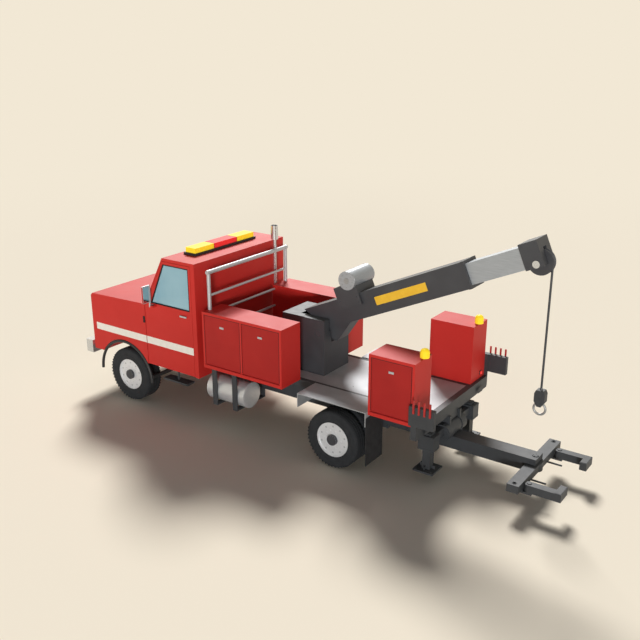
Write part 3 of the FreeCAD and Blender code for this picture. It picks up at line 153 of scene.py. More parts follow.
def treadPlate(name, look):  # rolled aluminium floor plate: raised lozenges in crossed rows
    material, tree, shader = blankMaterial(name, Metallic=look["metal"])
    place = addNode(tree, "ShaderNodeTexCoord")
    squeeze = (1 / look["pitch"], 1 / look["pitch"] / 2, 0)
    rows = []
    for turn in (45, -45):
        turned = addNode(tree, "ShaderNodeMapping", inputs={
            "Vector": place.outputs["Object"], "Rotation": (0, 0, math.radians(turn)), "Scale": squeeze})
        wave = addNode(tree, "ShaderNodeTexVoronoi", {"feature": "F1", "distance": "MANHATTAN"},
                       {"Vector": turned.outputs[0], "Scale": 1.0, "Randomness": 0.0})
        rows.append(wave.outputs["Distance"])
    nearest = addNode(tree, "ShaderNodeMath", {"operation": "MINIMUM"}, {0: rows[0], 1: rows[1]})
    lozenge = addNode(tree, "ShaderNodeMapRange", inputs={
        "Value": nearest.outputs[0], "From Min": 0.14, "From Max": 0.2, "To Min": 1.0, "To Max": 0.0})
    tint(tree, shader, noise(tree, 0.3, 5), look["dark"], look["light"])
    roughen(tree, shader, noise(tree, 0.15, 4), look["rough"] - 0.05, look["rough"] + 0.12)
    relief(tree, shader, lozenge.outputs[0], 0.002, look["strength"])
    return material


def mouldedRubber(name, look):  # carbon-black rubber: dull, greyer where it is dusty
    material, tree, shader = blankMaterial(name, IOR=1.52, Specular_IOR_Level=0.3)
    tint(tree, shader, noise(tree, 0.12, 5), look["dark"], look["light"], 0.35, 0.8)
    roughen(tree, shader, noise(tree, 0.05, 3), 0.75, 0.92)
    relief(tree, shader, noise(tree, 0.006, 2), 0.0006, 0.4)
    return material


def mouldedPlastic(name, look):  # injection-moulded: even colour, spark-eroded grain
    material, tree, shader = blankMaterial(
        name, IOR=1.49, Emission_Color=linear(look["light"]), Emission_Strength=look.get("glow", 0.0),
        Coat_Weight=look.get("coat", 0.0), Specular_IOR_Level=look.get("shine", 0.5))
    tint(tree, shader, noise(tree, 0.08, 2), look["dark"], look["light"])
    roughen(tree, shader, noise(tree, 0.03, 2), look["rough"] - 0.03, look["rough"] + 0.06)
    relief(tree, shader, noise(tree, look["grain"], 1), 0.0002, 0.3)
    return material


def toughenedGlass(name, look):  # tinted float glass: smooth, blue in body, faint dust film
    material, tree, shader = blankMaterial(name, IOR=1.5, Alpha=look["alpha"], Coat_Weight=0.5)
    tint(tree, shader, noise(tree, 0.6, 3), look["dark"], look["light"])
    roughen(tree, shader, noise(tree, 0.2, 3), 0.04, 0.12)
    return material


def wovenCloth(name, look):  # hard-wearing seat weave, 2 mm threads drawn at 6 mm to show
    material, tree, shader = blankMaterial(name, Sheen_Weight=0.25)
    place = addNode(tree, "ShaderNodeTexCoord")
    threads = addNode(tree, "ShaderNodeTexWave", {"bands_direction": "DIAGONAL"},
                      {"Vector": place.outputs["Object"], "Scale": 160.0, "Distortion": 0.5})
    tint(tree, shader, threads.outputs["Fac"], look["dark"], look["light"], 0.1, 0.9)
    roughen(tree, shader, noise(tree, 0.05, 3), 0.8, 0.95)
    relief(tree, shader, threads.outputs["Fac"], 0.0008, 0.5)
    return material


# patch, line, grain and peel are the real size of one mark in metres; along stretches the scratches
alongX, alongY, alongZ, allRound = (0.08, 1, 1), (1, 0.1, 1), (1, 1, 0.08), (1, 1, 1)
looks = {
    "redEnamel": (sprayedEnamel, {
        "dark": "C42A24", "light": "CE302A", "patch": 0.9, "peel": 0.01, "rough": 0.55, "coat": 0.03}),
    # door panels: the body's red enamel made darker, painted shade standing in for the shading seen on the
    # doors
    "shadedDoorEnamel": (sprayedEnamel, {
        "dark": "A51F1C", "light": "B02420", "patch": 0.5, "peel": 0.01, "rough": 0.58, "coat": 0.03}),
    "chassisPowder": (powderCoat, {
        "dark": "33363A", "light": "3E4145", "patch": 0.35, "grain": 0.006, "rough": 0.55}),
    "boomPowder": (powderCoat, {
        "dark": "38393E", "light": "424448", "patch": 0.4, "grain": 0.006, "rough": 0.5}),
    "tankAluminium": (brushedMetal, {
        "dark": "C6C8CA", "light": "D6D8D9", "line": 0.012, "along": alongX, "rough": 0.34, "metal": 0.45}),
    "wheelAluminium": (brushedMetal, {
        "dark": "DCDEE0", "light": "E9EAEC", "line": 0.02, "along": allRound, "rough": 0.4, "metal": 0.25}),
    "satinAluminium": (brushedMetal, {
        "dark": "B2B5B8", "light": "C6C9CC", "line": 0.01, "along": alongZ, "rough": 0.42, "metal": 0.35}),
    "boomAluminium": (brushedMetal, {
        "dark": "9DA2A7", "light": "AEB3B8", "line": 0.015, "along": alongX, "rough": 0.42, "metal": 0.35}),
    "brushedSteel": (brushedMetal, {
        "dark": "8F9193", "light": "ABADAF", "line": 0.008, "along": alongX, "rough": 0.36, "metal": 0.6}),
    "floorPlate": (treadPlate, {
        "dark": "A3A5A7", "light": "B6B8BA", "pitch": 0.045, "rough": 0.55, "metal": 0.2, "strength": 0.5}),
    "polishedChrome": (brushedMetal, {
        "dark": "C9CBCD", "light": "DADCDD", "line": 0.02, "along": alongY, "rough": 0.2, "metal": 0.8}),
    "drawnWire": (brushedMetal, {
        "dark": "4A4B4D", "light": "66686B", "line": 0.01, "along": (1, 1, 0.3), "rough": 0.45,
        "metal": 0.6}),
    "tyreRubber": (mouldedRubber, {"dark": "26282B", "light": "303235"}),
    "flapRubber": (mouldedRubber, {"dark": "29292B", "light": "353537"}),
    "windowGlass": (toughenedGlass, {"dark": "93C1D2", "light": "A2CDDC", "alpha": 0.8}),
    "amberLens": (mouldedPlastic, {
        "dark": "FBD226", "light": "FFDE36", "grain": 0.01, "rough": 0.4, "glow": 0.3, "shine": 0.15}),
    "redLens": (mouldedPlastic, {
        "dark": "E43030", "light": "F03A38", "grain": 0.01, "rough": 0.45, "glow": 0.3, "shine": 0.15}),
    "clearLens": (mouldedPlastic, {
        "dark": "D9DCDD", "light": "E9EBEC", "grain": 0.01, "rough": 0.2, "coat": 0.5}),
    "blackPlastic": (mouldedPlastic, {
        "dark": "1E1E20", "light": "28282A", "grain": 0.004, "rough": 0.5}),
    "leverPlastic": (mouldedPlastic, {
        "dark": "AA1F1F", "light": "BE2626", "grain": 0.004, "rough": 0.4}),
    "seatCloth": (wovenCloth, {"dark": "37373A", "light": "48484C"}),
    "whiteFilm": (mouldedPlastic, {"dark": "ECE6DC", "light": "F4EFE6", "grain": 0.01, "rough": 0.35}),
    "amberFilm": (mouldedPlastic, {"dark": "F0BC2A", "light": "F8C834", "grain": 0.01, "rough": 0.4}),
    "sealRubber": (mouldedRubber, {"dark": "1C1C1E", "light": "262628"}),
    "mirrorGlass": (brushedMetal, {
        "dark": "C4CCD0", "light": "D0D8DC", "line": 0.5, "along": allRound, "rough": 0.1, "metal": 1.0}),
}
finishes = {name: make(name, look) for name, (make, look) in looks.items()}
slotFinish = {
    "body_red": "redEnamel", "door_red": "shadedDoorEnamel", "chassis_grey": "chassisPowder",
    "boom_grey": "boomPowder", "silver": "satinAluminium", "bright": "polishedChrome",
    "tyre": "tyreRubber", "rubber": "flapRubber", "glass": "windowGlass", "amber": "amberLens",
    "red_lens": "redLens", "clear_lens": "clearLens", "black_plastic": "blackPlastic",
    "interior": "seatCloth", "lever_red": "leverPlastic", "line": "drawnWire",
}
nodeFinish = {
    "deck_and_fenders": "floorPlate", "winch_drum": "boomAluminium", "boom_extension": "boomAluminium",
    "hoist_line": "chassisPowder", "sheave": "boomPowder", "hook_ring": "brushedSteel",
    "fuel_tank": "tankAluminium",
    "wheel_front_left": "wheelAluminium", "wheel_front_right": "wheelAluminium",
    "wheel_rear_left": "wheelAluminium", "wheel_rear_right": "wheelAluminium",
}
for node, thing in frame["nodes"].items():
    thing.data.materials.clear()
    thing.data.materials.append(finishes[nodeFinish.get(node, slotFinish[slotOf[node]])])
print("materials made:", len(finishes))


# Mesh helpers: each adds to a bmesh in truck coordinates

sink = 0.001  # how far a dressed piece is let into what carries it


def boxBetween(bm, low, high, turn=None):
    low, high = Vector(low), Vector(high)
    size, middle = high - low, (high + low) / 2
    matrix = Matrix.Translation(middle) @ Matrix.Diagonal((*size, 1))
    bmesh.ops.create_cube(bm, size=1, matrix=turn @ matrix if turn else matrix)


def alongAxis(axis):
    return Vector(axis).to_track_quat("Z", "Y").to_matrix().to_4x4()


def postAt(bm, foot, axis, radius, length, sides=24, topRadius=None, turn=None):
    matrix = Matrix.Translation(Vector(foot)) @ alongAxis(axis) @ Matrix.Translation((0, 0, length / 2))
    bmesh.ops.create_cone(bm, cap_ends=True, segments=sides, radius1=radius,
                          radius2=radius if topRadius is None else topRadius, depth=length,
                          matrix=turn @ matrix if turn else matrix)


def turnedAbout(bm, centre, axis, profile, sides=48, closed=True):
    # profile: (distance along the axis, radius) pairs
    matrix = Matrix.Translation(Vector(centre)) @ alongAxis(axis)
    rings = []
    for i in range(sides):
        a = 2 * math.pi * i / sides
        rings.append([bm.verts.new(matrix @ Vector((r * math.cos(a), r * math.sin(a), h)))
                      for h, r in profile])
    count = len(profile)
    for i in range(sides):
        here, there = rings[i], rings[(i + 1) % sides]
        for j in range(count if closed else count - 1):
            k = (j + 1) % count
            bm.faces.new((here[j], there[j], there[k], here[k]))


def capAt(bm, centre, axis, radius, high, rim, sides=40):  # round cap, its outer rim bevelled
    turnedAbout(bm, centre, axis, [(0.0, 0.0), (0.0, radius), (high, radius - rim), (high, 0.0)], sides,
                closed=False)


def collarAt(bm, centre, axis, hole, radius, high, rim):  # flat collar round a pin, its outer rim bevelled
    turnedAbout(bm, centre, axis, [(0.0, hole), (0.0, radius), (high, radius - rim), (high, hole)], 40)


def ringAt(bm, centre, axis, radius, wire, sides=48):  # round wire bent into a ring
    steps = 10
    turns = [2 * math.pi * i / steps for i in range(steps)]
    turnedAbout(bm, centre, axis, [(wire * math.sin(a), radius + wire * math.cos(a)) for a in turns], sides)


def boltsRound(bm, centre, axis, circle, count, radius, height, start=0.0):
    facing = alongAxis(axis).to_3x3()
    for i in range(count):
        a = start + 2 * math.pi * i / count
        spot = Vector(centre) + facing @ Vector((circle * math.cos(a), circle * math.sin(a), 0))
        postAt(bm, spot, axis, radius, height, 6, radius * 0.92)


def makePiece(name, finish, body, build, bevel=0.0, smooth=35, segments=2):
    bm = bmesh.new()
    build(bm)
    bmesh.ops.recalc_face_normals(bm, faces=bm.faces)
    mesh = bpy.data.meshes.new(name)
    bm.to_mesh(mesh)
    bm.free()
    piece = bpy.data.objects.new(name, mesh)
    bpy.context.scene.collection.objects.link(piece)
    mesh.materials.append(finishes[finish])
    if smooth:
        mesh.shade_smooth()
        mesh.set_sharp_from_angle(angle=math.radians(smooth))
    if bevel:
        rounding = piece.modifiers.new("edgeRadius", "BEVEL")
        rounding.width, rounding.segments, rounding.limit_method = bevel, segments, "ANGLE"
        rounding.angle_limit = math.radians(40)
        rounding.harden_normals = True
    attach(piece, body)
    return piece


# Wheels and tyres

tread = {"bead": 0.2853, "grooves": (-0.21, 0.0, 0.21), "grooveWide": 0.010, "grooveDeep": 0.010,
         "flare": 0.002, "pitch": 0.064, "blockLong": 0.019, "frontWide": 0.320, "rearWide": 0.250,
         "twinApart": 0.300}
disc = {"inset": 0.035, "nuts": 10, "nutCircle": 0.150, "nut": 0.0125, "nutHigh": 0.012,
        "holeShades": 10, "holeCircle": 0.222, "hole": 0.019, "holeHigh": 0.0035, "bead": 0.255,
        "beadWire": 0.004, "cap": 0.0868, "capHigh": 0.049, "capDish": 0.03}


def tyreProfile(r, half):  # sidewall with its raised band, shoulder, then the crown with three grooves
    bead, wide, deep, flare = tread["bead"], tread["grooveWide"] / 2, tread["grooveDeep"], tread["flare"]
    side = [(half - 0.020, bead), (half - 0.006, bead + 0.012), (half - 0.004, bead + 0.030),
            (half - 0.0005, bead + 0.065), (half - 0.0005, bead + 0.085), (half - 0.004, bead + 0.092),
            (half - 0.0005, bead + 0.099), (half - 0.003, r - 0.045), (half - 0.010, r - 0.022),
            (half - 0.024, r - 0.006)]
    crown = []
    for share in sorted(tread["grooves"], reverse=True):
        centre = share * 2 * half
        crown += [(centre + wide + flare, r), (centre + wide, r - deep),
                  (centre - wide, r - deep), (centre - wide - flare, r)]
    other = [(-h, radius) for h, radius in reversed(side)]
    return side + [(half - 0.032, r - 0.001)] + crown + [(-half + 0.032, r - 0.001)] + other


def shoulderBlocks(bm, centre, r, half):
    count = round(2 * math.pi * r / tread["pitch"])
    x = tread["blockLong"] / 2
    for i in range(count):
        spin = Matrix.Translation(Vector(centre)) @ Matrix.Rotation(2 * math.pi * i / count, 4, "Y")
        for sign in (1, -1):
            near, far = sorted((sign * (half - 0.030), sign * (half - 0.005)))
            boxBetween(bm, (-x, near, r - 0.026), (x, far, r - 0.0085), spin)


def dressTyres(node, body, centres, wide):
    low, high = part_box(node)
    r = (high.x - low.x) / 2

    def build(bm):
        for centre in centres:
            turnedAbout(bm, centre, (0, 1, 0), tyreProfile(r, wide / 2), 96)
            shoulderBlocks(bm, centre, r, wide / 2)
    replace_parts(makePiece(node + "Tread", "tyreRubber", body, build, smooth=32), node)


def dressDisc(name, body, centre, wide, sign):
    axis = Vector((0, sign, 0))
    face = Vector((centre.x, centre.y + sign * (wide / 2 - disc["inset"]), centre.z))

    def nuts(bm):
        boltsRound(bm, face, axis, disc["nutCircle"], disc["nuts"], disc["nut"], disc["nutHigh"])
        ringAt(bm, face + axis * sink, axis, disc["bead"], disc["beadWire"])
    makePiece(name + "Nuts", "wheelAluminium", body, nuts)

    # hand holes drawn as flat discs of darker satin aluminium just proud of the wheel face: painted shade in
    # place of the open holes
    def holeShades(bm):
        boltsRound(bm, face - axis * 0.003, axis, disc["holeCircle"], disc["holeShades"], disc["hole"],
                   disc["holeHigh"], start=math.pi / disc["holeShades"])
    makePiece(name + "HandHoleShades", "satinAluminium", body, holeShades, smooth=0)
    cap, high, dish = disc["cap"], disc["capHigh"], disc["capDish"]
    profile = [(0.0, cap - 0.002), (0.0, cap), (high - 0.004, cap), (high, cap - 0.004), (high, dish),
               (high + 0.003, dish - 0.004), (high + 0.003, 0.0)]
    makePiece(name + "HubCap", "boomPowder", body,
              lambda bm: turnedAbout(bm, face, axis, profile, closed=False))


def dressWheels():
    for side, sign in bothSides:
        front = Vector(joints["spin_front_" + side]["pos_m"])
        rear = Vector(joints["spin_rear_" + side]["pos_m"])
        inner = rear - Vector((0, sign * tread["twinApart"], 0))
        dressTyres("tyre_front_" + side, "front_wheel_" + side, [front], tread["frontWide"])
        dressTyres("tyres_rear_" + side, "rear_wheels_" + side, [rear, inner], tread["rearWide"])
        dressDisc("front" + side.title(), "front_wheel_" + side, front, tread["frontWide"], sign)
        dressDisc("rear" + side.title(), "rear_wheels_" + side, rear, tread["rearWide"], sign)


dressWheels()
print("wheels dressed")


# Cab doors, windows and mirrors

cab = {"half": 1.2, "glassInset": 0.0155, "sealWide": 0.022, "sealThick": 0.008, "film": 0.0012,
       "stripeLow": 1.232, "stripeHigh": 1.362, "handleBack": 0.11, "handleLow": 1.885,
       "handleLong": 0.15, "handleTall": 0.028, "handleDeep": 0.034, "gripGap": 0.016, "gripFoot": 0.018}
mirror = {"from": 1.29, "above": 2.04, "border": 0.008, "armRoot": 1.196, "armLow": 1.957, "armTall": 0.034,
          "stemNear": 1.267, "stemFar": 1.303, "stemShort": 0.05}
wiper = {"feet": (-0.15, 0.75), "slant": 68, "long": 0.62, "bladeStart": 0.16}
hingeX = joints["door_left_hinge"]["pos_m"][0]
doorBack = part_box("cab_door_left")[0].x


def stripBetween(bm, loop, inset, y0, y1):
    # a flat frame that follows a closed outline in X and Z
    middle = sum((Vector(p) for p in loop), Vector((0, 0))) / len(loop)
    inner = []
    for i, point in enumerate(loop):
        before, here, after = Vector(loop[i - 1]), Vector(point), Vector(loop[(i + 1) % len(loop)])
        a, b = (here - before).normalized(), (after - here).normalized()
        na, nb = Vector((-a.y, a.x)), Vector((-b.y, b.x))
        if (middle - here).dot(na) < 0:
            na, nb = -na, -nb
        inner.append(here + (na + nb).normalized() * inset / max(0.3, math.cos(na.angle(nb) / 2)))
    rows = [[bm.verts.new((p[0], y, p[1])) for p in ring] for y in (y0, y1) for ring in (loop, inner)]
    count = len(loop)
    for i in range(count):
        j = (i + 1) % count
        for a, b in ((0, 1), (1, 3), (3, 2), (2, 0)):
            bm.faces.new((rows[a][i], rows[a][j], rows[b][j], rows[b][i]))


def windowLoop():  # the door window's outline, read from its glass
    low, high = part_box("door_glass_left")
    verts = [v.co for v in frame["nodes"]["door_glass_left"].data.vertices]
    frontLow = max(v.x for v in verts if v.z < low.z + 0.01)
    frontHigh = max(v.x for v in verts if v.z > high.z - 0.01)
    return [(low.x, low.z), (frontLow, low.z), (frontHigh, high.z), (low.x, high.z)]


def dressDoor(side, sign):
    body = "door_" + side
    outer = sign * cab["half"]

    def seal(bm):
        inside = outer - sign * cab["glassInset"]
        stripBetween(bm, windowLoop(), cab["sealWide"], inside, inside + sign * cab["sealThick"])
    makePiece("windowSeal" + side.title(), "sealRubber", body, seal, 0.002)

    def handle(bm):
        x, z = doorBack + cab["handleBack"], cab["handleLow"]
        long, tall = cab["handleLong"], cab["handleTall"]
        boxBetween(bm, (x, outer + sign * cab["gripGap"], z),
                   (x + long, outer + sign * cab["handleDeep"], z + tall))
        for foot in (x + 0.006, x + long - 0.006 - cab["gripFoot"]):
            boxBetween(bm, (foot, outer - sign * sink, z + 0.004),
                       (foot + cab["gripFoot"], outer + sign * 0.02, z + tall - 0.004))
    makePiece("doorHandle" + side.title(), "satinAluminium", body, handle, 0.004)

    def stripe(bm):
        boxBetween(bm, (doorBack, outer, cab["stripeLow"]),
                   (hingeX, outer + sign * cab["film"], cab["stripeHigh"]))
    makePiece("doorStripe" + side.title(), "whiteFilm", body, stripe, smooth=0)
    dressMirror(side, sign, body)


def dressMirror(side, sign, body):
    verts = [v.co for v in frame["nodes"]["cab_door_" + side].data.vertices]
    head = [co for co in verts if abs(co.y) > mirror["from"] and co.z > mirror["above"]]
    back, fore = min(co.x for co in head), max(co.x for co in head)
    near, far = min(abs(co.y) for co in head), max(abs(co.y) for co in head)
    low, high = min(co.z for co in head), max(co.z for co in head)

    def glass(bm):
        border = mirror["border"]
        boxBetween(bm, (back - 0.003, sign * (near + border), low + 0.01),
                   (back + 0.002, sign * (far - border), high - 0.01))
    makePiece("mirrorFace" + side.title(), "mirrorGlass", body, glass, 0.002)

    def shell(bm):
        x0, x1 = back - 0.003, fore + 0.003
        armLow, stemFar = mirror["armLow"], mirror["stemFar"]
        boxBetween(bm, (back - 0.001, sign * (near - 0.034), low - 0.004),
                   (fore + 0.014, sign * (far - 0.0005), high + 0.004))
        boxBetween(bm, (x0, sign * mirror["armRoot"], armLow),
                   (x1, sign * (stemFar - 0.001), armLow + mirror["armTall"]))
        boxBetween(bm, (x0, sign * mirror["stemNear"], armLow),
                   (x1, sign * stemFar, high - mirror["stemShort"]))
    makePiece("mirrorShell" + side.title(), "satinAluminium", body, shell, 0.008)


def dressGlass():
    low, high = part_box("windscreen")
    slope = (high.x - low.x) / (high.z - low.z)
    lean = Matrix.Translation((high.x, 0, low.z)) @ Matrix.Rotation(-math.atan(slope), 4, "Y")
    tall = math.hypot(high.x - low.x, high.z - low.z)
    wide, edge = high.y, 0.028

    def seal(bm):
        for y0, y1, z0, z1 in ((-wide, wide, -0.002, edge), (-wide, wide, tall - 0.040, tall - 0.012),
                               (-wide, -wide + edge, 0.0, tall - 0.02),
                               (wide - edge, wide, 0.0, tall - 0.02)):
            boxBetween(bm, (-0.006, y0, z0), (0.006, y1, z1), lean)
    makePiece("screenSeal", "sealRubber", "chassis", seal, 0.002)

    def wipers(bm):
        slant = Matrix.Rotation(math.radians(wiper["slant"]), 4, "X")
        for foot in wiper["feet"]:
            arm = lean @ Matrix.Translation((0.018, foot, 0.02)) @ slant
            boxBetween(bm, (-0.005, -0.008, 0.0), (0.005, 0.008, wiper["long"]), arm)
            boxBetween(bm, (-0.010, -0.014, wiper["bladeStart"]), (-0.004, -0.006, wiper["long"]), arm)
    makePiece("wipers", "blackPlastic", "chassis", wipers, 0.002)


for side, sign in bothSides:
    dressDoor(side, sign)
dressGlass()
print("cab dressed")


# Hood, lamps and bumper

nose = {"stripeShort": 0.148, "lampNear": 0.7403, "lampFrame": 0.022, "lampRibs": 7, "ribInset": 0.02,
        "rib": 0.008, "trimHalf": 0.64, "trim": 0.012, "latchLow": 1.60, "latchHigh": 1.72,
        "latchWide": 0.046}
bumper = {"plateHalf": 0.26, "plateLow": 0.07, "plateHigh": 0.18, "boltsAt": 0.4, "boltCircle": 0.09,
          "eyeAt": 0.58, "eye": 0.042, "eyeWire": 0.013}


def dressHood():
    low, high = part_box("hood")
    face = high.x - sink
    for side, sign in bothSides:
        outer = sign * cab["half"]

        def stripe(bm):
            boxBetween(bm, (low.x, outer, cab["stripeLow"]),
                       (high.x - nose["stripeShort"], outer + sign * cab["film"], cab["stripeHigh"]))
        makePiece("hoodStripe" + side.title(), "whiteFilm", "tilt_hood", stripe, smooth=0)
    lampLow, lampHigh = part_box("headlamps")
    near, far = nose["lampNear"], lampHigh.y

    def bezels(bm):
        w = nose["lampFrame"]
        for sign in (1, -1):
            for y0, y1, z0, z1 in ((near - w, far + w, lampLow.z - w, lampLow.z),
                                   (near - w, far + w, lampHigh.z, lampHigh.z + w),
                                   (near - w, near, lampLow.z, lampHigh.z),
                                   (far, far + w, lampLow.z, lampHigh.z)):
                boxBetween(bm, (face, sign * y0, z0), (high.x + 0.014, sign * y1, z1))
    makePiece("lampBezels", "polishedChrome", "tilt_hood", bezels, 0.003)

    def lenses(bm):
        inset, last = nose["ribInset"], nose["lampRibs"] - 1
        tall = lampHigh.z - lampLow.z - inset
        for sign in (1, -1):
            for i in range(last + 1):
                y = near + inset + i * (far - near - 2 * inset) / last
                postAt(bm, (lampHigh.x - 0.004, sign * y, lampLow.z + inset / 2), (0, 0, 1), nose["rib"],
                       tall, 10)
    makePiece("lampRibs", "clearLens", "tilt_hood", lenses)

    def trim(bm):
        grilleLow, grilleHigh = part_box("grille")
        for z in (grilleHigh.z + 0.03, grilleLow.z - 0.03):
            postAt(bm, (face, -nose["trimHalf"], z), (0, 1, 0), nose["trim"], 2 * nose["trimHalf"], 12)
    makePiece("grilleTrim", "polishedChrome", "tilt_hood", trim)

    def latches(bm):
        for sign in (1, -1):
            boxBetween(bm, (low.x + 0.004, sign * (cab["half"] - 0.002), nose["latchLow"]),
                       (low.x + 0.004 + nose["latchWide"], sign * (cab["half"] + 0.009), nose["latchHigh"]))
            postAt(bm, (low.x + 0.027, sign * cab["half"], nose["latchLow"] + 0.03), (0, sign, 0), 0.012,
                   0.016, 16)
    makePiece("hoodLatches", "sealRubber", "tilt_hood", latches, 0.004)


def dressBumper():
    low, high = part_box("front_bumper")

    def plate(bm):
        boxBetween(bm, (high.x - 0.004, -bumper["plateHalf"], low.z + bumper["plateLow"]),
                   (high.x + 0.006, bumper["plateHalf"], low.z + bumper["plateHigh"]))
        for sign in (1, -1):
            boltsRound(bm, (high.x - sink, sign * bumper["boltsAt"], (low.z + high.z) / 2), (1, 0, 0),
                       bumper["boltCircle"], 4, 0.012, 0.009)
    makePiece("bumperPlate", "blackPlastic", "chassis", plate, 0.003)

    def hooks(bm):
        for sign in (1, -1):
            ringAt(bm, (high.x - 0.03, sign * bumper["eyeAt"], low.z - 0.012), (1, 0, 0),
                   bumper["eye"], bumper["eyeWire"], 24)
    makePiece("towEyes", "chassisPowder", "chassis", hooks)


dressHood()
dressBumper()
print("front dressed")


# Lamps on the roof and the toolboxes

beacon = {"ribs": 12, "rib": 0.0035, "ribCircle": 0.0665, "inboard": 0.295, "overEdge": 0.010}
bar = {"edge": 0.026, "ribs": 0.05, "rib": 0.004, "redHalf": 0.3, "amberNear": 0.305, "amberFar": 0.774,
       "footNear": 0.62, "footFar": 0.68, "half": 0.801}
tail = {"y": 1.058, "z": 1.171, "bezel": 0.036, "wire": 0.007}
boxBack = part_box("rear_toolboxes")[0].x


def beaconSpot(sign):  # on the box roof, over its rear edge
    low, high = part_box("rear_toolboxes")
    return Vector((low.x + beacon["overEdge"], sign * (high.y - beacon["inboard"]), high.z))


def dressRoofLamps():
    low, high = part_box("light_bar")
    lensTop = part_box("amber_lamps")[1].z
    back, fore = low.x + bar["edge"], high.x - bar["edge"]

    def lens(bm, y0, y1):
        boxBetween(bm, (back, y0, high.z - sink), (fore, y1, lensTop))
        count = max(3, int(abs(y1 - y0) / bar["ribs"]))
        for i in range(1, count):
            y = y0 + (y1 - y0) * i / count
            for x in (back, fore):
                postAt(bm, (x, y, high.z + 0.006), (0, 0, 1), bar["rib"], lensTop - high.z - 0.022, 8)

    def ambers(bm):
        dome = [(0.016, 0.0), (0.016, 0.068), (0.106, 0.067), (0.126, 0.060), (0.142, 0.046), (0.152, 0.026),
                (0.154, 0.0)]
        for sign in (1, -1):
            lens(bm, sign * bar["amberNear"], sign * bar["amberFar"])
            spot = beaconSpot(sign)
            turnedAbout(bm, spot, (0, 0, 1), dome, 40, closed=False)
            for i in range(beacon["ribs"]):
                a = 2 * math.pi * i / beacon["ribs"]
                foot = Vector((beacon["ribCircle"] * math.cos(a), beacon["ribCircle"] * math.sin(a), 0.024))
                postAt(bm, spot + foot, (0, 0, 1), beacon["rib"], 0.074, 8)
    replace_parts(makePiece("amberLenses", "amberLens", "chassis", ambers, 0.014, segments=3), "amber_lamps")

    def reds(bm):
        lens(bm, -bar["redHalf"], bar["redHalf"])
        button = [(0.0, 0.0), (0.0, 0.032), (0.018, 0.032), (0.024, 0.026), (0.026, 0.0)]
        for sign in (1, -1):
            turnedAbout(bm, (boxBack, sign * tail["y"], tail["z"]), (-1, 0, 0), button, 32, closed=False)
    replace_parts(makePiece("redLenses", "redLens", "chassis", reds, 0.010, segments=3), "red_lamps")

    def bases(bm):
        foot = [(-0.001, 0.0), (-0.001, 0.032), (0.010, 0.031), (0.0155, 0.036), (0.0155, 0.0)]
        for sign in (1, -1):
            turnedAbout(bm, beaconSpot(sign), (0, 0, 1), foot, 40, closed=False)
            boxBetween(bm, (low.x + 0.03, sign * bar["footNear"], low.z - 0.002),
                       (high.x - 0.03, sign * bar["footFar"], low.z + 0.01))
            ringAt(bm, (boxBack - 0.004, sign * tail["y"], tail["z"]), (1, 0, 0), tail["bezel"],
                   tail["wire"], 32)
            boxBetween(bm, (back - 0.004, sign * (bar["redHalf"] + 0.0005), high.z - 0.002),
                       (fore + 0.004, sign * (bar["amberNear"] - 0.0005), lensTop - 0.004))
        boxBetween(bm, (low.x - sink, -bar["half"], low.z + 0.012),
                   (high.x + sink, bar["half"], low.z + 0.03))
    makePiece("lampBases", "blackPlastic", "chassis", bases, 0.003)


dressRoofLamps()
print("lamps dressed")


# Toolbox doors

lid = {"paddleWide": 0.085, "paddleTall": 0.034, "paddleDown": 0.155, "paddleThick": 0.010, "lockAt": 0.3,
       "gasket": 0.009, "gasketInset": 0.014, "shut": 1.195, "boxFace": 1.2}


def dressLid(node, sign):
    low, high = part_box(node)
    outer = sign * lid["shut"]
    middle, handleZ = (low.x + high.x) / 2, high.z - lid["paddleDown"]
    wide, tall = lid["paddleWide"], lid["paddleTall"]

    def paddle(bm):
        boxBetween(bm, (middle - wide / 2, outer - sign * sink, handleZ - tall / 2),
                   (middle + wide / 2, outer + sign * lid["paddleThick"], handleZ + tall / 2))
        postAt(bm, (middle + wide * lid["lockAt"], outer + sign * (lid["paddleThick"] - sink), handleZ),
               (0, sign, 0), 0.006, 0.003, 16)
    makePiece(node + "Paddle", "satinAluminium", node + "_lid", paddle, 0.008, segments=3)

    def trim(bm):
        edge, face = lid["gasket"], lid["boxFace"]
        left, right = low.x + lid["gasketInset"], high.x - lid["gasketInset"]
        for x0, x1, z0, z1 in ((left - edge, right + edge, high.z + 0.001, high.z + edge),
                               (left - edge, left - 0.001, low.z + 0.03, high.z),
                               (right + 0.001, right + edge, low.z + 0.03, high.z)):
            boxBetween(bm, (x0, sign * (face - sink), z0), (x1, sign * (face + sink), z1))
    makePiece(node + "Gasket", "sealRubber", "chassis", trim, smooth=0)


for side, sign in bothSides:
    for node in ("front_box_door_%s_1" % side, "front_box_door_%s_2" % side, "rear_box_door_" + side):
        dressLid(node, sign)
print("toolbox doors dressed")


# Boom, winch and hoist line.  boomFrame takes (towards the butt, across, away from the underside)

pivot = Vector(joints["boom_luff"]["pos_m"])
restAngle = 24
boomFrame = Matrix.Translation(pivot) @ Matrix.Rotation(math.radians(restAngle), 4, "Y")
boom = {"stripeBack": -2.139, "stripeFront": -1.184, "stripeLow": 0.158, "stripeHigh": 0.292,
        "film": 0.0015, "half": 0.2, "low": 0.015, "high": 0.425, "mouth": -2.844,
        "collarLong": 0.05, "collarThick": 0.006,
        "cradleHalf": 0.249, "cradleBolts": (-0.57, -0.90), "headBack": -3.706, "headFront": -3.985}
winch = {"face": 0.2995, "boltCircle": 0.105, "bolts": 8, "cap": 0.05, "flangeAt": 0.284, "flange": 0.1485}
block = {"half": 0.0545, "pin": 0.026, "socketUp": 0.25, "socket": 0.02, "socketTop": 0.014,
         "socketLong": 0.05}


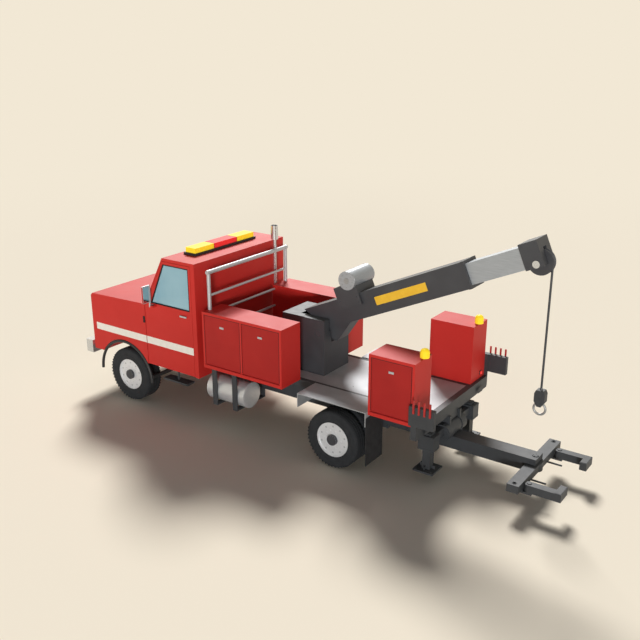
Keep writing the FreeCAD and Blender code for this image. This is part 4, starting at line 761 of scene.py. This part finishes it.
def dressBoom():
    half, mouth, thick = boom["half"], boom["mouth"], boom["collarThick"]
    for side, sign in bothSides:
        def stripe(bm):
            boxBetween(bm, (boom["stripeBack"], sign * half, boom["stripeLow"]),
                       (boom["stripeFront"], sign * (half + boom["film"]), boom["stripeHigh"]), boomFrame)
        makePiece("boomStripe" + side.title(), "amberFilm", "lifting_boom", stripe, smooth=0)

    def collar(bm):
        front, under = mouth + boom["collarLong"], boom["low"] - thick
        for sign in (1, -1):
            boxBetween(bm, (mouth, sign * half, under),
                       (front, sign * (half + thick), boom["high"] + thick), boomFrame)
        for n in (boom["high"], under):
            boxBetween(bm, (mouth, -half, n), (front, half, n + thick), boomFrame)
    makePiece("boomCollar", "boomPowder", "lifting_boom", collar, 0.002)

    def bolts(bm):
        for sign in (1, -1):
            for n in (0.09, 0.35):
                foot = (mouth + boom["collarLong"] / 2, sign * (half + thick - sink), n)
                postAt(bm, foot, (0, sign, 0), 0.011, 0.008, 6, turn=boomFrame)
            for x in boom["cradleBolts"]:
                for n in (0.29, 0.38):
                    postAt(bm, (x, sign * boom["cradleHalf"], n), (0, sign, 0), 0.012, 0.009, 6,
                           turn=boomFrame)
    makePiece("boomBolts", "boomPowder", "lifting_boom", bolts)

    def headTrim(bm):
        back, fore = boom["headBack"] - 0.035, boom["headFront"] + 0.035
        for sign in (1, -1):
            for x, n in ((back, 0.09), (back, 0.38), (fore, 0.38)):
                postAt(bm, (x, sign * half, n), (0, sign, 0), 0.011, 0.007, 6, turn=boomFrame)
    makePiece("headBolts", "boomPowder", "extension", headTrim)

    def pinEnds(bm):
        centre = Vector(joints["sheave_spin"]["pos_m"])
        for sign in (1, -1):
            capAt(bm, centre + Vector((0, sign * (half + 0.0015), 0)), (0, sign, 0), 0.0545, 0.008, 0.0015)
    makePiece("sheavePinEnds", "polishedChrome", "sheave_wheel", pinEnds)


def dressWinch():
    centre = Vector(joints["winch_spin"]["pos_m"])

    def ends(bm):
        for sign in (1, -1):
            face = centre + Vector((0, sign * winch["face"], 0))
            boltsRound(bm, face, (0, sign, 0), winch["boltCircle"], winch["bolts"], 0.009, 0.006)
            capAt(bm, face, (0, sign, 0), winch["cap"], 0.006, 0.003)
            ringAt(bm, centre + Vector((0, sign * winch["flangeAt"], 0)), (0, 1, 0), winch["flange"],
                   0.004, 64)
    makePiece("winchEnds", "brushedSteel", "winch", ends)


def dressHook():
    low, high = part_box("hook_ring")
    middle = (low + high) / 2
    top, half = high.z, block["half"]

    def bolts(bm):
        for sign in (1, -1):
            capAt(bm, (middle.x, sign * half, top + 0.05), (0, sign, 0), block["pin"], 0.007, 0.003, 24)
            for dx, dz in ((-0.045, 0.11), (0.045, 0.11), (-0.045, 0.0), (0.045, 0.0)):
                postAt(bm, (middle.x + dx, sign * half, top + dz), (0, sign, 0), 0.008, 0.006, 6)
    makePiece("blockBolts", "chassisPowder", "hook", bolts)

    def sleeve(bm):
        foot = (middle.x, 0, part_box("hoist_line")[0].z + block["socketUp"])
        postAt(bm, foot, (0, 0, 1), block["socket"], block["socketLong"], 20, block["socketTop"])
    makePiece("ropeSocket", "drawnWire", "hook", sleeve)


dressBoom()
dressWinch()
dressHook()
print("boom dressed")


# Mast, rear frame, outriggers and underlift

mastTrim = {"weld": 0.006, "weldTall": 0.012, "pin": 0.0505, "collar": 0.075, "collarHigh": 0.006}
frameTrim = {"liftCollarAt": 0.3, "liftPin": 0.05, "liftCollar": 0.12, "boltCircle": 0.088,
             "bandNear": 0.577, "bandFar": 0.783, "bands": (0.545, 0.742), "bandTall": 0.016,
             "plateNear": 0.82, "plateFar": 0.98, "plateLow": 0.90, "plateHigh": 0.99, "plateAt": 0.068}
legFoot = {"rib": 0.095, "ribLong": 0.03, "ribThick": 0.006, "ribLow": 0.03, "ribHigh": 0.085,
           "bolt": 0.13, "cap": 0.045}
fork = {"swivelUp": 0.2105, "swivelCap": 0.05, "endHalf": 0.085, "endNear": 0.836, "endFar": 0.844,
        "endLow": 0.335, "endHigh": 0.445, "eyeAt": 0.77, "eyeHigh": 0.4505, "cap": 0.036,
        "padBack": 0.006, "padFront": 0.099, "padFar": 0.20, "padNear": 0.056}


def dressMast():
    low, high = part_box("mast")

    def build(bm):
        for sign in (1, -1):
            boxBetween(bm, (low.x, sign * high.y, low.z),
                       (high.x, sign * (high.y + mastTrim["weld"]), low.z + mastTrim["weldTall"]))
            collarAt(bm, (pivot.x, sign * (high.y - 0.002), pivot.z), (0, sign, 0),
                     mastTrim["pin"], mastTrim["collar"], mastTrim["collarHigh"], 0.002)
    makePiece("mastWelds", "chassisPowder", "chassis", build, 0.002)


def dressRear():
    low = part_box("rear_frame")[0]
    liftPin = Vector(joints["underlift_tilt"]["pos_m"])

    def plates(bm):
        for sign in (1, -1):
            at = liftPin + Vector((0, sign * frameTrim["liftCollarAt"], 0))
            collarAt(bm, at, (0, sign, 0), frameTrim["liftPin"], frameTrim["liftCollar"], 0.010, 0.003)
            boltsRound(bm, at + Vector((0, sign * 0.009, 0)), (0, sign, 0), frameTrim["boltCircle"],
                       6, 0.011, 0.008)
            x0, x1 = liftPin.x - 0.113, liftPin.x + 0.153
            for z in frameTrim["bands"]:
                boxBetween(bm, (x0, sign * frameTrim["bandNear"], z),
                           (x1, sign * frameTrim["bandFar"], z + frameTrim["bandTall"]))
            back = low.x + frameTrim["plateAt"]
            boxBetween(bm, (back, sign * frameTrim["plateNear"], frameTrim["plateLow"]),
                       (back + 0.003, sign * frameTrim["plateFar"], frameTrim["plateHigh"]))
    makePiece("frameCollars", "chassisPowder", "chassis", plates, 0.002)


def dressLeg(side):
    low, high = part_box("outrigger_" + side)
    mid = (low + high) / 2

    def ribs(bm):
        for a, b in ((1, 0), (-1, 0), (0, 1), (0, -1)):
            x, y = mid.x + a * legFoot["rib"], mid.y + b * legFoot["rib"]
            dx = legFoot["ribLong"] if a else legFoot["ribThick"]
            dy = legFoot["ribLong"] if b else legFoot["ribThick"]
            boxBetween(bm, (x - dx, y - dy, low.z + legFoot["ribLow"]),
                       (x + dx, y + dy, low.z + legFoot["ribHigh"]))
        cap = legFoot["cap"]
        boxBetween(bm, (mid.x - cap, mid.y - cap, high.z - sink),
                   (mid.x + cap, mid.y + cap, high.z + 0.008))
        for dx in (-legFoot["bolt"], legFoot["bolt"]):
            for dy in (-legFoot["bolt"], legFoot["bolt"]):
                postAt(bm, (mid.x + dx, mid.y + dy, low.z + 0.029), (0, 0, 1), 0.012, 0.01, 6)
    makePiece("footRibs" + side.title(), "chassisPowder", "leg_" + side, ribs, 0.003)


def dressUnderlift():
    swivel = Vector(joints["crossbar_swivel"]["pos_m"])
    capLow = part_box("underlift_boom")[0].z + fork["swivelUp"]

    def pins(bm):
        capAt(bm, (swivel.x, 0, capLow), (0, 0, 1), fork["swivelCap"], 0.010, 0.002, 32)
        boltsRound(bm, (swivel.x, 0, capLow + 0.0085), (0, 0, 1), 0.034, 4, 0.007, 0.006)
    makePiece("swivelCap", "chassisPowder", "fork_crossbar", pins)

    def ends(bm):
        for sign in (1, -1):
            boxBetween(bm, (swivel.x - fork["endHalf"], sign * fork["endNear"], fork["endLow"]),
                       (swivel.x + fork["endHalf"], sign * fork["endFar"], fork["endHigh"]))
            ringAt(bm, (swivel.x, sign * fork["eyeAt"], fork["eyeHigh"]), (0, 0, 1), 0.03, 0.006, 28)
    makePiece("crossbarEnds", "chassisPowder", "fork_crossbar", ends, 0.002)


def dressFork(side, sign):
    spot = Vector(joints["fork_%s_swing" % side]["pos_m"])
    low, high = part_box("wheel_fork_" + side)

    def cap(bm):
        capAt(bm, (spot.x, spot.y, high.z - sink), (0, 0, 1), fork["cap"], 0.012, 0.003, 32)
        boxBetween(bm, (low.x + fork["padBack"], spot.y - sign * fork["padFar"], high.z - sink),
                   (low.x + fork["padFront"], spot.y + sign * fork["padNear"], high.z + 0.006))
    makePiece("forkCap" + side.title(), "chassisPowder", "fork_" + side, cap, 0.003)


dressMast()
dressRear()
for side in ("left", "right"):
    dressLeg(side)
dressUnderlift()
for side, sign in bothSides:
    dressFork(side, sign)
print("rear dressed")


# Chassis, tank, steps and cab inside

rail = {"face": 0.4395, "first": -2.2, "pitch": 0.22, "count": 26, "rows": (0.62, 0.79)}
step = {"treads": 6, "near": 1.035, "pitch": 0.030, "wide": 0.012, "back": 0.555, "front": 0.015,
        "low": 0.6495, "high": 0.653}
seat = {"places": 3, "right": -0.97, "pitch": 0.652, "wide": 0.636}


def dressChassis():
    def rivets(bm):
        for sign in (1, -1):
            for i in range(rail["count"]):
                for z in rail["rows"]:
                    postAt(bm, (rail["first"] + i * rail["pitch"], sign * rail["face"], z), (0, sign, 0),
                           0.010, 0.009, 10, 0.007)
    makePiece("railRivets", "chassisPowder", "chassis", rivets)
    tankLow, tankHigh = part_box("fuel_tank")
    middle, radius = (tankLow + tankHigh) / 2, (tankHigh.z - tankLow.z) / 2

    def tank(bm):
        pressed = [(-0.004, radius - 0.002), (0.0, radius - 0.006), (0.007, radius - 0.04), (0.007, 0.0)]
        for x, way in ((tankLow.x, -1), (tankHigh.x, 1)):
            turnedAbout(bm, (x, middle.y, middle.z), (way, 0, 0), pressed, 64, closed=False)
            ringAt(bm, (x - way * 0.012, middle.y, middle.z), (1, 0, 0), radius + 0.0005, 0.003, 64)
    makePiece("tankEnds", "tankAluminium", "chassis", tank)

    def treads(bm):
        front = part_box("steps_and_straps")[1].x
        for sign in (1, -1):
            for i in range(step["treads"]):
                y = step["near"] + i * step["pitch"]
                boxBetween(bm, (front - step["back"], sign * y, step["low"]),
                           (front - step["front"], sign * (y + step["wide"]), step["high"]))
    makePiece("stepTreads", "chassisPowder", "chassis", treads, 0.001)


def dressInside():
    low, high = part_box("cab_interior")

    def cushions(bm):
        for i in range(seat["places"]):
            y0 = seat["right"] + i * seat["pitch"]
            y1 = y0 + seat["wide"]
            boxBetween(bm, (low.x + 0.15, y0, 1.325), (low.x + 0.55, y1, 1.365))
            boxBetween(bm, (low.x + 0.13, y0, 1.42), (low.x + 0.165, y1, 2.0))
            boxBetween(bm, (low.x + 0.02, y0 + 0.16, 2.015), (low.x + 0.11, y1 - 0.16, 2.16))
    makePiece("seatCushions", "seatCloth", "chassis", cushions, 0.016, segments=3)

    def panel(bm):  # instrument cowl, heater panel and the gear lever with its boot
        boxBetween(bm, (high.x - 0.315, 0.22, 1.80), (high.x - 0.13, 0.68, 1.93))
        boxBetween(bm, (high.x - 0.275, -0.35, 1.52), (high.x - 0.24, 0.12, 1.78))
        postAt(bm, (high.x - 0.52, 0.02, 0.88), (-0.12, 0, 1), 0.012, 0.62, 16)
        postAt(bm, (high.x - 0.595, 0.02, 1.49), (-0.12, 0, 1), 0.028, 0.05, 20)
    makePiece("dashPanels", "blackPlastic", "chassis", panel, 0.01)


dressChassis()
dressInside()
print("chassis dressed")


# Floor, light and camera

stage = {"floor": "F3E8D4", "backdrop": "F2E8D5", "size": 400.0, "near": 9.0, "far": 30.0, "drop": 0.0005}
lamps = {"sky": "F4F8FF", "skyStrength": 0.15, "key": (3.85, 16, (0.68, -0.92, 1.0)),
         "fill": (2.0, 10, (-0.6, 1.0, 0.05))}
view = {"from": (-7.596, 10.806, 6.436), "azimuth": 215.021, "elevation": 19.018, "lens": 47.01,
        "sensor": 36.0}


def seenDirectly(tree):  # 1 for camera, glossy and transmission rays, which all show the background
    path = addNode(tree, "ShaderNodeLightPath")
    either = addNode(tree, "ShaderNodeMath", {"operation": "MAXIMUM"},
                     {0: path.outputs["Is Camera Ray"], 1: path.outputs["Is Glossy Ray"]})
    return addNode(tree, "ShaderNodeMath", {"operation": "MAXIMUM"},
                   {0: either.outputs[0], 1: path.outputs["Is Transmission Ray"]}).outputs[0]


def pavedFloor():  # level ground: matt near the truck, even in the distance
    bm = bmesh.new()
    bmesh.ops.create_grid(bm, x_segments=2, y_segments=2, size=stage["size"] / 2)
    mesh = bpy.data.meshes.new("floor")
    bm.to_mesh(mesh)
    bm.free()
    floor = bpy.data.objects.new("floor", mesh)
    bpy.context.scene.collection.objects.link(floor)
    floor.location.z = -stage["drop"]
    material, tree, shader = blankMaterial("matteFloor", Roughness=0.95, Base_Color=linear(stage["floor"]),
                                           Specular_IOR_Level=0.0)
    place = addNode(tree, "ShaderNodeTexCoord")
    reach = addNode(tree, "ShaderNodeVectorMath", {"operation": "LENGTH"}, {0: place.outputs["Object"]})
    far = addNode(tree, "ShaderNodeMapRange", {"interpolation_type": "SMOOTHSTEP"},
                  {"Value": reach.outputs["Value"], "From Min": stage["near"], "From Max": stage["far"]})
    fade = addNode(tree, "ShaderNodeMath", {"operation": "MULTIPLY"},
                   {0: far.outputs["Result"], 1: seenDirectly(tree)})
    even = addNode(tree, "ShaderNodeEmission", inputs={"Color": linear(stage["backdrop"]), "Strength": 1.0})
    mix = addNode(tree, "ShaderNodeMixShader", inputs={0: fade.outputs[0], 1: shader.outputs["BSDF"],
                                                       2: even.outputs[0]})
    surface = next(node for node in tree.nodes if node.type == "OUTPUT_MATERIAL").inputs["Surface"]
    tree.links.new(mix.outputs[0], surface)
    mesh.materials.append(material)


def distantLamp(name, energy, spread, towards):
    lamp = bpy.data.objects.new(name, bpy.data.lights.new(name, "SUN"))
    lamp.data.energy, lamp.data.angle = energy, math.radians(spread)
    lamp.rotation_mode = "QUATERNION"
    lamp.rotation_quaternion = Vector(towards).to_track_quat("Z", "Y")
    bpy.context.scene.collection.objects.link(lamp)


def softLight():  # high key lamp from the front right, near-level fill from the rear left, faint sky
    world = bpy.data.worlds.new("softSky")
    bpy.context.scene.world = world
    world.use_nodes = True
    tree = world.node_tree
    tree.nodes.clear()
    light = addNode(tree, "ShaderNodeBackground",
                    inputs={"Color": linear(lamps["sky"]), "Strength": lamps["skyStrength"]})
    backdrop = addNode(tree, "ShaderNodeBackground",
                       inputs={"Color": linear(stage["backdrop"]), "Strength": 1.0})
    mix = addNode(tree, "ShaderNodeMixShader", inputs={0: seenDirectly(tree), 1: light.outputs[0],
                                                       2: backdrop.outputs[0]})
    addNode(tree, "ShaderNodeOutputWorld", inputs={"Surface": mix.outputs[0]})
    distantLamp("keyLamp", *lamps["key"])
    distantLamp("fillLamp", *lamps["fill"])


def standCamera():
    camera = bpy.data.objects.new("camera", bpy.data.cameras.new("camera"))
    camera.location = view["from"]
    azimuth, elevation = math.radians(view["azimuth"]), math.radians(view["elevation"])
    level = math.cos(elevation)
    back = Vector((math.sin(azimuth) * level, -math.cos(azimuth) * level, math.sin(elevation)))
    camera.rotation_mode = "QUATERNION"
    camera.rotation_quaternion = back.to_track_quat("Z", "Y")
    camera.data.lens, camera.data.sensor_width = view["lens"], view["sensor"]
    camera.data.clip_end = stage["size"] / 2
    bpy.context.scene.collection.objects.link(camera)
    bpy.context.scene.camera = camera


pavedFloor()
softLight()
standCamera()
bpy.context.scene.view_settings.view_transform = "Standard"
print("stage set")
